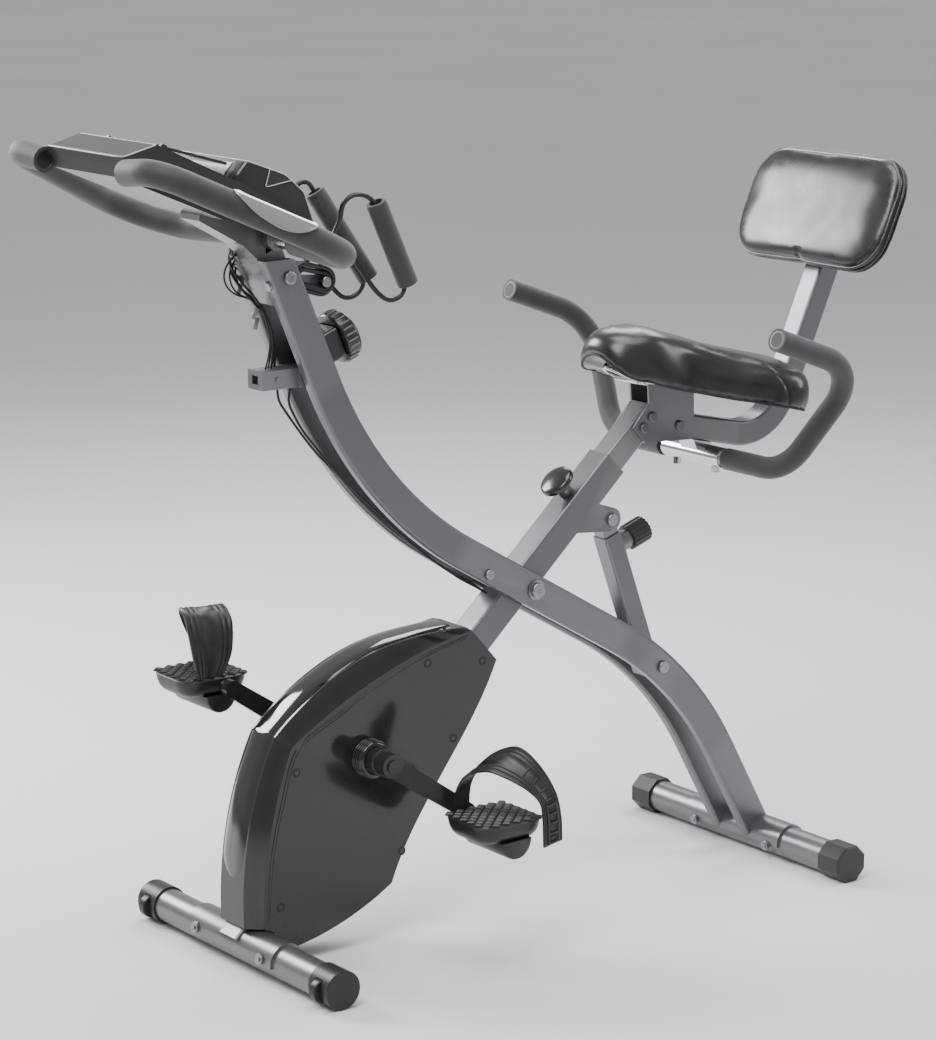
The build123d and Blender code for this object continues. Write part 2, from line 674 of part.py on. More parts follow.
def build_belt():
    half = PULLEY_WIDTH / 2 - 1
    belt = slab(belt_loop(GAP + BELT_THICK), PULLEY_Y - half, PULLEY_Y + half)
    return belt - slab(belt_loop(GAP), PULLEY_Y - half - 1, PULLEY_Y + half + 1)


def build_flywheel():
    """Flywheel with the small pulley that shares its axle."""
    y0, y1 = FLYWHEEL_Y - FLYWHEEL_WIDTH / 2, FLYWHEEL_Y + FLYWHEEL_WIDTH / 2
    wheel = rod(*FLYWHEEL, FLYWHEEL_RADIUS, y0, y1)
    for face in ((y0 - 1, y0 + 4), (y1 - 4, y1 + 1)):
        wheel -= pipe(*FLYWHEEL, FLYWHEEL_RADIUS - 20, 22, *face)
    wheel -= rod(*FLYWHEEL, FLY_AXLE + RUNNING, y0 - 1, y1 + 1)
    pulley = pipe(*FLYWHEEL, SMALL_PULLEY, FLY_AXLE + RUNNING, PULLEY_Y - PULLEY_WIDTH / 2,
                  PULLEY_Y + PULLEY_WIDTH / 2)
    return [wheel, pulley]


def build_flywheel_axle():
    return rod(*FLYWHEEL, FLY_AXLE, PULLEY_Y - PULLEY_WIDTH / 2 - 1, FLYWHEEL_Y + FLYWHEEL_WIDTH / 2 + 1.5)


def build_magnet_bracket():
    """Arc of brake magnets that swings in towards the flywheel's rim."""
    half = FLYWHEEL_WIDTH / 2 - 1
    y0, y1 = FLYWHEEL_Y - half, FLYWHEEL_Y + half
    magnet = 3.4
    inner = FLYWHEEL_RADIUS + MAGNET_GAP + magnet
    corners = [FLYWHEEL, along(FLYWHEEL, 137, 2 * inner), along(FLYWHEEL, 194, 2 * inner)]
    arc = pipe(*FLYWHEEL, inner + 3, inner, y0, y1) & slab(make_face(Polyline(*corners, close=True)), y0, y1)
    bracket = arc + rod(*MAGNET_PIVOT, 3 * MAGNET_PIN, y0, y1) - rod(*FLYWHEEL, inner, y0 - 1, y1 + 1)
    solids = [bracket - rod(*MAGNET_PIVOT, MAGNET_PIN + RUNNING, y0 - 1, y1 + 1)]
    for angle in (152, 168, 184):
        c, s = unit(angle)
        x, z = along(FLYWHEEL, angle, inner - magnet / 2)
        place = Plane(origin=(x, FLYWHEEL_Y, z), x_dir=(-s, 0, c), z_dir=(c, 0, s))
        solids.append(place * Box(16, 2 * half - 2, magnet))
    pivot = Axis((MAGNET_PIVOT[0], 0, MAGNET_PIVOT[1]), (0, 1, 0))
    return [solid.rotate(pivot, MAGNET_SWING) for solid in solids]


# ---------------------------------------------------------------- pedals
def build_pedal(side):
    """Moulded pedal with a half-round counterweight below it and diamond studs on top."""
    x, z = crank_end(side)
    y0, y1 = sorted((side * PEDAL_START, side * (PEDAL_START + PEDAL_WIDTH)))
    middle, y = x + PEDAL_FORWARD, (y0 + y1) / 2
    outline = RectangleRounded(PEDAL_LENGTH, PEDAL_WIDTH, PEDAL_CORNER)
    body = extrude(Pos(middle, y, z - PEDAL_BOTTOM) * outline, PEDAL_TOP + PEDAL_BOTTOM)
    body = chamfer(body.faces().sort_by(Axis.Z)[0].edges(), 7)
    weight = slab(Pos(x, z - PEDAL_BOTTOM) * Ellipse(WEIGHT_HALF, WEIGHT_DEPTH), y0 + 2, y1 - 2)
    body += weight & Pos(x, y, z - PEDAL_BOTTOM - 48) * Box(200, 200, 100)
    bore = sorted((side * 100, side * (PEDAL_START + PEDAL_WIDTH - 2.7)))
    body -= rod(x, z, SPINDLE_RADIUS + RUNNING, *bore)
    for row in range(-2, 3):
        for column in range(-2, 3):
            dx, dy = row * STUD_PITCH[0], column * STUD_PITCH[1]
            if abs(dx) + abs(dy) < 52:
                place = Pos(middle + dx, y + dy, z + PEDAL_TOP + 0.5) * Rot(0, 0, 45)
                body += place * Box(STUD_SIZE, STUD_SIZE, 3)
    return body


# Each strap's stations: distance out from the middle plane, then how far forward of the
# spindle and how far above it the strap's front edge and its rear edge are.
STRAP_FOOT = PEDAL_TOP + GAP
STRAP_STATIONS = {
    1: [(152, 38, STRAP_FOOT, 12, STRAP_FOOT), (154, 36, 38, 8, 52), (166, 28, 63, -12, 84),
        (190, 12, 74, -32, 102), (212, -2, 69, -42, 102), (240, -22, 54, -52, 80),
        (258, -34, 36, -62, 48), (263, -36, 10, -68, 12), (265, -36, -28, -68, -22)],
    -1: [(152, 40, STRAP_FOOT, 0, STRAP_FOOT), (154, 46, 40, -18, 44), (162, 48, 72, -26, 82),
         (178, 46, 98, -30, 106), (200, 40, 106, -34, 112), (225, 26, 92, -40, 98),
         (248, 0, 60, -52, 66), (261, -26, 26, -64, 28), (263, -36, -22, -68, -20)],
}


def build_strap(side):
    """Rubber strap that arches over the foot, from the pedal's inner edge to its outer side."""
    x, z = crank_end(side)
    front = [(x + fx, side * out, z + fz) for out, fx, fz, rx, rz in STRAP_STATIONS[side]]
    rear = [(x + rx, side * out, z + rz) for out, fx, fz, rx, rz in STRAP_STATIONS[side]]
    ribbon = Face.make_surface_from_curves(Edge.make_spline(front), Edge.make_spline(rear))
    return thicken(ribbon, STRAP_THICK / 2, both=True)


# ---------------------------------------------------------------- seat post and seat
SUPPORT_DIR = 180.0 + SUPPORT_ANGLE
SUPPORT_CORNER = along(SUPPORT_START, SUPPORT_DIR, SUPPORT_RUN)
BACK_DIR = 90.0 + POST_LEAN
SEAT_DIR = 180.0 + SEAT_TILT


def support_point(distance, up=0.0):
    return along(SUPPORT_START, SUPPORT_DIR, distance, -up)


def seat_point(back, up=0.0):
    return along(SEAT_NOSE, SEAT_DIR, back, -up)


def seat_plane(back, up):
    """Plane parallel to the seat, with its local X pointing back along it."""
    x, z = seat_point(back, up)
    c, s = unit(SEAT_DIR)
    return Plane(origin=(x, 0, z), x_dir=(c, 0, s), z_dir=(s, 0, -c))


POST_BOLTS = [main_point(POST_END - 32), main_point(POST_END - 10)]
SUPPORT_BOLT = support_point(40)


def build_post():
    post = square_tube(MAIN_START, MAIN_DIR, POST_START, POST_END, POST_SIZE, POST_WALL, 3)
    for step in range(-2, 2):
        post -= stud(main_point(SEAT_KNOB_AT + 30 * step), MAIN_SIDE, KNOB_PIN + 1, 10, 30)
    for point in POST_BOLTS:
        post -= bolt_hole(point, SEAT_BOLT)
    return post


def build_support():
    """Bent square tube from the post's head back and up to the backrest."""
    top = along(SUPPORT_CORNER, BACK_DIR, SUPPORT_TOP)
    corners = [(x, 0, z) for x, z in (SUPPORT_START, SUPPORT_CORNER, top)]
    path = FilletPolyline(*corners, radius=SUPPORT_RADIUS)
    inner = POST_SIZE - 2 * POST_WALL
    tube = swept(path, RectangleRounded(POST_SIZE, POST_SIZE, 4))
    tube -= swept(path, RectangleRounded(inner, inner, 2))
    clear = POST_SIZE + 2 * GAP
    tube -= square_bar(MAIN_START, MAIN_DIR, POST_START, POST_END + GAP, clear, clear, 3)
    return tube - bolt_hole(SUPPORT_BOLT, SEAT_BOLT)


def build_seat_bracket():
    """Two side plates that join the post's head, the back support and the seat's pan."""
    inner = POST_SIZE / 2 + GAP
    pan = SEAT_SKIRT - GAP - PAN_THICK
    outline = [main_point(BRACKET_START, -POST_SIZE / 2), main_point(BRACKET_START, POST_SIZE / 2 - 4),
               main_point(POST_END, POST_SIZE / 2), seat_point(98, pan), seat_point(190, pan),
               support_point(66, POST_SIZE / 2), support_point(66, -POST_SIZE / 2)]
    plate = make_face(Polyline(*outline, close=True))
    plates = [slab(plate, inner, inner + BRACKET_PLATE), slab(plate, -inner - BRACKET_PLATE, -inner)]
    bolts = [bolt(point, SEAT_BOLT, inner + BRACKET_PLATE) for point in POST_BOLTS + [SUPPORT_BOLT]]
    for point in POST_BOLTS + [SUPPORT_BOLT]:
        plates = [p - bolt_hole(point, SEAT_BOLT) for p in plates]
    pan_plate = extrude(seat_plane(176, pan) * RectangleRounded(236, 116, 40), PAN_THICK)
    return plates + [pan_plate] + bolts


SEAT_HALF_WIDTHS = [(15, 45), (65, 70), (130, 78), (200, 110), (260, 145), (300, 150), (328, 122)]
SEAT_LEVELS = [(0, 0), (50, 1), (68, 8), (SEAT_THICK, 26)]


def seat_outline(up, inset=0.0):
    """Closed outline of the saddle at one height, nose first, moved inwards by an inset."""
    shrink = 1 - 2 * inset / SEAT_LENGTH
    left = [(inset + back * shrink, half - inset) for back, half in SEAT_HALF_WIDTHS]
    points = [(inset, 0)] + left + [(SEAT_LENGTH - inset, 0)] + [(u, -v) for u, v in reversed(left)]
    return Wire([seat_plane(0, up) * Edge.make_spline([Vector(u, v, 0) for u, v in points], periodic=True)])


def build_cushion():
    """Saddle with a hollow underside for its pan and an arch under its nose."""
    cushion = Solid.make_loft([seat_outline(*level) for level in SEAT_LEVELS], ruled=True)
    hollow = [seat_outline(up, SEAT_WALL) for up in (-1, SEAT_SKIRT)]
    x, z = seat_point(-20)
    c, s = unit(SEAT_DIR)
    arch = Plane(origin=(x, 0, z), x_dir=(0, 1, 0), z_dir=(c, 0, s)) * Ellipse(60, 30)
    return cushion - Solid.make_loft(hollow, ruled=True) - extrude(arch, 85)


def build_backrest():
    """Board on the front of the support's upper end, with the pad on it."""
    c, s = unit(BACK_DIR)

    def plate(width, height, corner, start, thick):
        x, z = along(SUPPORT_CORNER, BACK_DIR, BACK_START + BACK_HEIGHT / 2, -start)
        plane = Plane(origin=(x, 0, z), x_dir=(0, 1, 0), z_dir=(s, 0, -c))
        return extrude(plane * RectangleRounded(width, height, corner), thick)

    board = plate(150, 110, 10, POST_SIZE / 2, BACK_BOARD)
    pad = plate(BACK_WIDTH, BACK_HEIGHT, BACK_CORNER, POST_SIZE / 2 + BACK_BOARD + GAP, BACK_THICK)
    front = pad.faces().filter_by(GeomType.PLANE).sort_by(Axis.X)[-1]
    return board, fillet(front.edges(), 12)


# ---------------------------------------------------------------- side handles
CLAMP_X, CLAMP_Z = SIDE_POINTS[0][0], SIDE_POINTS[0][2]


def grips(path, radius, start, plug):
    """Foam sleeves on both ends of a bar, with an end plug in each."""
    foam = swept(path, Circle(radius)) - swept(path, Circle(BAR_RADIUS + RUNNING))
    foam -= Box(6000, 2 * start, 6000)
    plugs = [Plane(origin=path @ 0, z_dir=-(path % 0)) * Cylinder(radius, plug, align=PLUG_ALIGN),
             Plane(origin=path @ 1, z_dir=path % 1) * Cylinder(radius, plug, align=PLUG_ALIGN)]
    return list(foam.solids()) + plugs


PLUG_ALIGN = (Align.CENTER, Align.CENTER, Align.MIN)
SIDE_PATH = bent_bar(SIDE_POINTS, SIDE_RADII)


def hollow_bar(path):
    return swept(path, Circle(BAR_RADIUS)) - swept(path, Circle(BAR_RADIUS - 1.5))


def build_clamp():
    """Sleeve round the side handles' bar, hung under the back support, with two bolts."""
    sleeve = rod(CLAMP_X, CLAMP_Z, CLAMP_RADIUS, -CLAMP_HALF, CLAMP_HALF)
    reach = (SUPPORT_START[0] - CLAMP_X) / math.cos(math.radians(SUPPORT_ANGLE))
    under = -POST_SIZE / 2 - RUNNING
    block = [support_point(reach - 18, under), support_point(reach + 18, under),
             (CLAMP_X - 12, CLAMP_Z + 2), (CLAMP_X + 12, CLAMP_Z + 2)]
    sleeve += slab(make_face(Polyline(*block, close=True)), -POST_SIZE / 2, POST_SIZE / 2)
    sleeve -= rod(CLAMP_X, CLAMP_Z, BAR_RADIUS + RUNNING, -CLAMP_HALF - 1, CLAMP_HALF + 1)
    solids = [sleeve]
    for y in (-CLAMP_BOLT_Y, CLAMP_BOLT_Y):
        head = Pos(CLAMP_X, y, CLAMP_Z - CLAMP_RADIUS - 3) * extrude(RegularPolygon(7, 6), 6, both=True)
        solids.append(head - rod(CLAMP_X, CLAMP_Z, CLAMP_RADIUS + RUNNING, -CLAMP_HALF, CLAMP_HALF))
    return solids


# ---------------------------------------------------------------- curved frame
BEAM_DIR = math.degrees(math.atan2(BEAM_CORNERS[0][1] - BEAM_CORNERS[1][1],
                                   BEAM_CORNERS[0][0] - BEAM_CORNERS[1][0]))
BEAM_OUT = BEAM_GAP / 2 + BEAM_WIDTH
CROSS_BOLTS = [((-400.0, 519.0), 4.0), ((-59.0, 981.0), 5.0), (STRUT_LOW, STRUT_BOLT), (PIVOT, PIVOT_BOLT)]


def build_beam(side):
    path = FilletPolyline(*[(x, side * (BEAM_GAP + BEAM_WIDTH) / 2, z) for x, z in BEAM_CORNERS],
                          radius=BEAM_RADII)
    beam = swept(path, RectangleRounded(BEAM_WIDTH, BEAM_DEPTH, BEAM_CORNER))
    beam -= swept(path, RectangleRounded(BEAM_WIDTH - 2 * BEAM_WALL, BEAM_DEPTH - 2 * BEAM_WALL, 3))
    beam -= Pos(0, 0, BEAM_TOP_Z + 100) * Box(600, 200, 200)
    beam -= rod(REAR_FOOT_X, FOOT_Z, SADDLE_OUTER, -60, 60)
    for point, radius in CROSS_BOLTS:
        beam -= bolt_hole(point, radius)
    return beam


def mast_point(distance, rise=0.0):
    """Point along the mast above the curved frame's bend; a positive rise is forward."""
    return along(BEAM_CORNERS[1], BEAM_DIR, distance, -rise)


BAR_X, BAR_Z = HANDLE_POINTS[0][0], HANDLE_POINTS[0][2]


def console_point(forward, up):
    """Point in the console's own tilted frame, measured from the handlebar's axis."""
    return along((BAR_X, BAR_Z), CONSOLE_TILT, forward, up)


def build_mast_head():
    """Block between the beams' tops, with the handlebar's clamp and the console's shelf."""
    half = BEAM_GAP / 2 - GAP
    block = [mast_point(325, 21), mast_point(325, -21), mast_point(398, -21), mast_point(398, 21)]
    head = slab(make_face(Polyline(*block, close=True)), -half, half)
    head += rod(BAR_X, BAR_Z, HEAD_RADIUS, -HEAD_HALF, HEAD_HALF)
    shelf = [console_point(*p) for p in ((12, 8), (40, 5), (120, -12.5), (118, -20), (40, -26), (-6, -40))]
    head += slab(make_face(Polyline(*shelf, close=True)), -half, half) + coil_arm()
    head -= rod(BAR_X, BAR_Z, BAR_RADIUS + RUNNING, -HEAD_HALF - 1, HEAD_HALF + 1)
    for point, radius in CROSS_BOLTS + [(COIL_REAR, COIL_BOLT)]:
        head -= bolt_hole(point, radius)
    return head


def build_frame_bolts():
    bolts = [bolt(point, radius, BEAM_OUT + (2.5 if point == PIVOT else 0)) for point, radius in CROSS_BOLTS]
    for y0 in (-BEAM_OUT - 2.5, BEAM_OUT):
        bolts.append(pipe(*PIVOT, 15, PIVOT_BOLT + RUNNING, y0, y0 + 2.5))
    spacer_half = BEAM_GAP / 2
    bolts.append(pipe(*CROSS_BOLTS[0][0], 7, CROSS_BOLTS[0][1] + RUNNING, -spacer_half, spacer_half))
    for y in (-36, 36):
        x, z = mast_point(360, BEAM_DEPTH / 2)
        c, s = unit(BEAM_DIR - 90)
        bolts.append(Plane(origin=(x, y, z), z_dir=(c, 0, s)) * Cylinder(7, 4, align=PLUG_ALIGN))
    bolts.append(bolt(COIL_REAR, COIL_BOLT, COIL_HALF))
    return bolts + saddle_bolts(REAR_FOOT_X, REAR_BOLT_TILT, BOLT_SPACING)


def build_rear_saddle():
    bracket = saddle(REAR_FOOT_X)
    for hole in saddle_bolts(REAR_FOOT_X, REAR_BOLT_TILT, BOLT_SPACING, RUNNING):
        bracket -= hole
    return bracket


HANDLE_PATH = bent_bar(HANDLE_POINTS, HANDLE_RADII)


def build_sensors():
    """Curved metal plates on top of the handlebar's grips that read the pulse."""
    plates = []
    start, end = Vector(*HANDLE_POINTS[1]), Vector(*HANDLE_POINTS[2])
    heading = (end - start).normalized()
    middle = start + heading * SENSOR_AT
    plane = Plane(origin=middle, z_dir=heading, x_dir=heading.cross(Vector(0, 0, 1)))
    inner = HANDLE_GRIP_RADIUS + GAP
    ring = Cylinder(inner + 2, SENSOR_LENGTH) - Cylinder(inner, SENSOR_LENGTH + 2)
    upper = Box(2 * inner * 0.9, 3 * inner, SENSOR_LENGTH + 2)
    sector = ring & upper & (Pos(0, -inner, 0) * Box(4 * inner, 2 * inner, 2 * SENSOR_LENGTH))
    plate = plane * sector
    if plate.center().Z < middle.Z:
        plate = plane * Rot(0, 0, 180) * sector
    return [plate, mirrored(plate)]


# ---------------------------------------------------------------- console
BASE_OUTLINE = [(-6, 22), (300, -4), (291, -18), (120, -12.5), (40, 5), (12, 20)]
DECK_OUTLINE = [(-14, 30), (-6, 22), (300, -4), (305, 5), (264, 40), (113, 40)]
POD_OUTLINE = [(-18, 30), (30, 20), (130, 30), (116, 72), (54, 77), (16, 66)]
BUTTON_AT = 36.0
BUTTON_Y = [-28.0, 0.0, 28.0]


def console_face(outline, inset=0.0):
    face = make_face(Polyline(*[console_point(*p) for p in outline], close=True))
    return offset(face, -inset) if inset else face


def build_console_base():
    """Lower tray of the console, open at its top."""
    tray = slab(console_face(BASE_OUTLINE), -BASE_HALF, BASE_HALF)
    half = BASE_HALF - CONSOLE_WALL
    inside = slab(console_face(BASE_OUTLINE, CONSOLE_WALL), -half, half)
    return tray - inside


def build_console_cover():
    """Upper shell of the console: a flat deck with the display's raised pod at the rider's end."""
    cover = slab(console_face(DECK_OUTLINE), -CONSOLE_HALF, CONSOLE_HALF)
    cover += slab(console_face(POD_OUTLINE), -POD_HALF, POD_HALF)
    wall = CONSOLE_WALL
    cover -= slab(console_face(DECK_OUTLINE, wall), wall - CONSOLE_HALF, CONSOLE_HALF - wall)
    cover -= slab(console_face(POD_OUTLINE, wall), wall - POD_HALF, POD_HALF - wall)
    cover -= slab(console_face(FLAP_RECESS), -FLAP_HALF - 2, FLAP_HALF + 2)
    for y in BUTTON_Y:
        cover -= button_form(y, BUTTON_RADIUS + GAP, 8)
    ear = [(FLAP_HINGE[0] + dx, FLAP_HINGE[1] + dz) for dx, dz in ((-5, -6), (7, -6), (4, 4), (-4, 4))]
    for side in (-1, 1):
        inner = FLAP_HALF + GAP
        cover += slab(console_face(ear), *sorted((side * inner, side * (inner + EAR_WIDTH))))
    reach = FLAP_HALF + GAP + EAR_WIDTH
    return cover + rod(*console_point(*FLAP_HINGE), FLAP_PIN, -reach, reach)


def button_form(y, radius, depth):
    """Short round bar through the pod's top, square to its face."""
    (x0, z0), (x1, z1) = console_point(*POD_OUTLINE[5]), console_point(*POD_OUTLINE[4])
    share = (BUTTON_AT - POD_OUTLINE[5][0]) / (POD_OUTLINE[4][0] - POD_OUTLINE[5][0])
    x, z = x0 + share * (x1 - x0), z0 + share * (z1 - z0)
    plane = Plane(origin=(x, y, z), z_dir=(z0 - z1, 0, x1 - x0))
    return plane * Pos(0, 0, BUTTON_RISE - depth) * Cylinder(radius, depth, align=PLUG_ALIGN)


FLAP_HINGE = (236.0, 44.0)
FLAP_RECESS = [(126, 36.5), (242, 36.5), (242, 60), (126, 60)]


def build_flap():
    """Hinged plate that props up a phone or tablet, drawn slightly raised."""
    c, s = unit(CONSOLE_TILT + 180 - FLAP_REST)
    x, z = console_point(*FLAP_HINGE)
    plane = Plane(origin=(x, 0, z), x_dir=(c, 0, s), z_dir=(s, 0, -c))
    outline = plane * Pos(FLAP_LENGTH / 2, 0) * RectangleRounded(FLAP_LENGTH, 2 * FLAP_HALF, 4)
    plate = extrude(outline, 2, both=True)
    plate += rod(x, z, FLAP_BARREL, -FLAP_HALF, FLAP_HALF)
    return plate - rod(x, z, FLAP_PIN + RUNNING, -FLAP_HALF - 1, FLAP_HALF + 1)


# ---------------------------------------------------------------- tension knob
DIAL_DIR = 158.0
DIAL_AXIS = unit(DIAL_DIR)


def build_housing():
    """Box held between the beams that the tension knob's stem turns in."""
    front = -HOUSING_DEPTH
    box = square_bar(DIAL, DIAL_DIR, front, -DIAL_THICK / 2 - 2, HOUSING_SIZE, BEAM_GAP - 2 * GAP, 6)
    return box - stud(DIAL, DIAL_AXIS, DIAL_STEM + RUNNING, front + 10, 0)


def build_dial():
    dial = knob_head(DIAL, DIAL_AXIS, DIAL_RADIUS, -DIAL_THICK / 2, DIAL_THICK, 12, 3.0)
    return dial + stud(DIAL, DIAL_AXIS, DIAL_STEM, -HOUSING_DEPTH + 12, 0)


# ---------------------------------------------------------------- cables
CABLE_BOX = (-30.0, -126.0, 823.0, 850.0)
CABLE_BOX_HALF = 18.0


def build_cable_box():
    """Open-fronted plastic box on the mast that holds the plugs of the console's leads."""
    front, back, low, high = CABLE_BOX
    half = CABLE_BOX_HALF
    box = Pos((front - 92) / 2, 0, (low + high) / 2) * Box(front + 92, 2 * half, high - low)
    tongue = [(-88, low), (back, low), (back + 16, high), (-88, high)]
    box += slab(make_face(Polyline(*tongue, close=True)), -BEAM_GAP / 2 + GAP, BEAM_GAP / 2 - GAP)
    box -= Pos(front, 0, (low + high) / 2) * Box(20, 14, 12)
    screws = [rod(-56, (low + high) / 2, 4, *sorted((side * half, side * (half + 2)))) for side in (-1, 1)]
    return [box] + screws


def cable(points, radius):
    """Round lead along straight runs joined by arcs as large as the runs allow."""
    runs = [(Vector(*b) - Vector(*a)) for a, b in zip(points, points[1:])]
    radii = []
    for before, after in zip(runs, runs[1:]):
        turn = math.radians(before.get_angle(after))
        radii.append(0.45 * min(before.length, after.length) / math.tan(turn / 2))
    print("radii", [round(r) for r in radii], "turns by diameter", round(min(radii) / (2 * radius), 1))
    path = FilletPolyline(*points, radius=radii)
    side = (path % 0).cross(Vector(0.3, 0.5, 0.8))
    tube = sweep(Plane(origin=path @ 0, z_dir=path % 0, x_dir=side) * Circle(radius), path=path)
    print("volume over section times length", round(tube.volume / (math.pi * radius ** 2 * path.length), 4))
    return tube


LEADS = [
    [(-40, -74, 1020.6), (-32, -62, 1007), (-18, -45, 1000), (-9, -24, 991), (-11, -4, 975), (-24, 8, 955),
     (-42, 9, 932), (-56, 5, 903), (-60, 2, 878), (-56, 1, 850.6)],
    [(-45, -79, 1020.5), (-39, -66, 1003), (-24, -50, 993), (-12, -30, 983), (-13, -9, 966), (-28, 2, 945),
     (-48, 3, 924), (-61, -3, 896), (-68, -5, 873), (-66, -6, 850.6)],
]
LOWER_LEADS = [
    [(-70, -6, 822.4), (-72, -6, 802), (-94, -7, 772), (-132, -9, 724), (-176, -8, 682), (-222, -6, 632),
     (-272, -6, 592), (-326, -7, 546), (-376, -8, 513), (-404, -9, 499), (-426, -8, 482)],
    [(-84, 6, 822.4), (-80, 6, 800), (-101, 4, 762), (-140, 0, 718), (-180, 0, 674), (-232, 1, 627),
     (-280, 2, 582), (-338, 1, 536), (-384, 0, 505), (-408, -1, 492), (-429, 0, 479)],
]


# ---------------------------------------------------------------- resistance bands
GRIP_ENDS = [[(-193, 60, 1077), (-247, 60, 959)], [(-138, -10, 1089), (-208, 20, 965)]]
BAND_ROUTES = [
    [(-132, 12, 987.6), (-140, 15, 1010), (-149, 23, 1034), (-154, 31, 1055), (-154, 34, 1073.7),
     (-165.5, 41.6, 1087.5), (-181.6, 52.3, 1087.5), (-194.5, 60, 1073.7), (-240.8, 60, 972.6),
     (-243, 59.5, 955), (-235, 58, 940), (-217, 54, 936), (-202, 46, 950), (-191, 37, 971),
     (-179, 29, 993), (-169, 20, 1012), (-156, 11, 1025), (-139, 4, 1027), (-124, 2, 1014), (-117, 1.5, 992)],
    [(-124, -10, 989.6), (-122, -11, 1016), (-117, -12, 1044), (-110, -14, 1069), (-106, -14, 1092.6),
     (-115.4, -13, 1103), (-128.5, -12, 1103), (-135.4, -11, 1093.6), (-199.5, 16.4, 980),
     (-202, 18, 960), (-193, 16, 944), (-179, 11, 938), (-166, 5, 944), (-158, 0, 957)],
]
COIL_ARM = 6.0


def coil_arm(clearance=0.0):
    """Flat bar from the mast's head through the middle of the bands' coil."""
    bar = link(COIL_REAR, 8 + clearance, mast_point(350), 8 + clearance)
    return slab(bar, -COIL_ARM / 2 - clearance, COIL_ARM / 2 + clearance)


def build_coil():
    """Closed outer shape of the wound ends of both bands."""
    coil = slab(link(COIL_REAR, COIL_RADIUS, COIL_FRONT, COIL_RADIUS), -COIL_HALF, COIL_HALF) - coil_arm(GAP)
    return coil - bolt_hole(COIL_REAR, COIL_BOLT)


def build_grip(ends):
    """Foam handle with a narrow bore for its band and a hollow at each end."""
    top, bottom = Vector(*ends[0]), Vector(*ends[1])
    heading = (bottom - top).normalized()
    length = (bottom - top).length
    plane = Plane(origin=top, z_dir=heading)
    grip = plane * Cylinder(GRIP_RADIUS, length, align=PLUG_ALIGN)
    grip = fillet(grip.edges(), 2)
    grip -= plane * Pos(0, 0, -1) * Cylinder(GRIP_BORE, length + 2, align=PLUG_ALIGN)
    for start in (-1, length - GRIP_MOUTH):
        grip -= plane * Pos(0, 0, start) * Cylinder(GRIP_HOLLOW, GRIP_MOUTH + 1, align=PLUG_ALIGN)
    return grip


# ---------------------------------------------------------------- all the parts, by name
SIDES = {"left": 1, "right": -1}


def roller(side):
    y = roller_y(side)
    wheel = rod(ROLLER_X, ROLLER_Z, ROLLER_RADIUS, y - ROLLER_WIDTH / 2, y + ROLLER_WIDTH / 2)
    wheel = fillet(wheel.edges(), 2)
    return wheel - rod(ROLLER_X, ROLLER_Z, ROLLER_PIN + RUNNING, y - ROLLER_WIDTH, y + ROLLER_WIDTH)


front_foot = foot_tube(0, FRONT_TUBE)
rear_foot = foot_tube(REAR_FOOT_X, REAR_TUBE)
for hole in saddle_bolts(0, FRONT_BOLT_TILT, BOLT_SPACING, RUNNING):
    front_foot -= hole
for hole in saddle_bolts(REAR_FOOT_X, REAR_BOLT_TILT, BOLT_SPACING, RUNNING):
    rear_foot -= hole

parts["main_frame"] = build_main_frame()
parts["front_stabilizer"] = front_foot
parts["front_end_caps"] = [front_cap(1), front_cap(-1)]
parts["sleeve_collar"] = collar()
parts["main_frame_bolts"] = [bolt(STRUT_HIGH, STRUT_BOLT, MAIN_SIZE / 2), build_flywheel_axle()]
parts["main_frame_bolts"] += saddle_bolts(0, FRONT_BOLT_TILT, BOLT_SPACING)
parts["cover_trim"] = build_trim()
parts["hub_covers"] = [build_hub_cover(1), build_hub_cover(-1)]
parts["crank_bearings"] = build_bearings()
parts["drive_belt"] = build_belt()
parts["crank_axle"] = rod(*CRANK, AXLE_RADIUS, -AXLE_END, AXLE_END)
parts["drive_pulley"] = build_drive_pulley()
parts["flywheel"] = build_flywheel()
parts["magnet_bracket"] = build_magnet_bracket()
for name, side in SIDES.items():
    parts[name + "_roller"] = roller(side)
    parts[name + "_cover"] = build_cover(side)
    parts[name + "_crank"] = build_crank(side)
    parts[name + "_pedal"] = build_pedal(side)
    parts[name + "_strap"] = build_strap(side)
    parts[name + "_beam"] = build_beam(side)
    parts[name + "_rear_cap"] = rear_cap(side)

parts["seat_post"] = build_post()
parts["seat_bracket"] = build_seat_bracket()
parts["back_support"] = build_support()
parts["seat_cushion"] = build_cushion()
backrest_board, parts["backrest_pad"] = build_backrest()
parts["seat_bracket"].append(backrest_board)
parts["side_handle_bar"] = hollow_bar(SIDE_PATH)
parts["side_handle_grips"] = grips(SIDE_PATH, SIDE_GRIP_RADIUS, SIDE_GRIP_START, 3)
parts["handle_clamp"] = build_clamp()
parts["seat_knob"] = build_seat_knob()

parts["strut_outer"] = build_strut_outer()
parts["strut_inner"] = build_strut_inner()
parts["strut_knob"] = build_strut_knob()
parts["mast_head"] = build_mast_head()
parts["rear_saddle"] = build_rear_saddle()
parts["rear_stabilizer"] = rear_foot
parts["curved_frame_bolts"] = build_frame_bolts()
parts["handlebar"] = hollow_bar(HANDLE_PATH)
parts["handlebar_grips"] = grips(HANDLE_PATH, HANDLE_GRIP_RADIUS, HANDLE_GRIP_START, 2)
parts["pulse_sensors"] = build_sensors()
parts["console_base"] = build_console_base()
parts["console_cover"] = build_console_cover()
parts["tablet_flap"] = build_flap()
for number, y in enumerate(BUTTON_Y, 1):
    parts[f"console_button_{number}"] = button_form(y, BUTTON_RADIUS, 5)
parts["tension_housing"] = build_housing()
parts["tension_dial"] = build_dial()
parts["cable_box"] = build_cable_box()
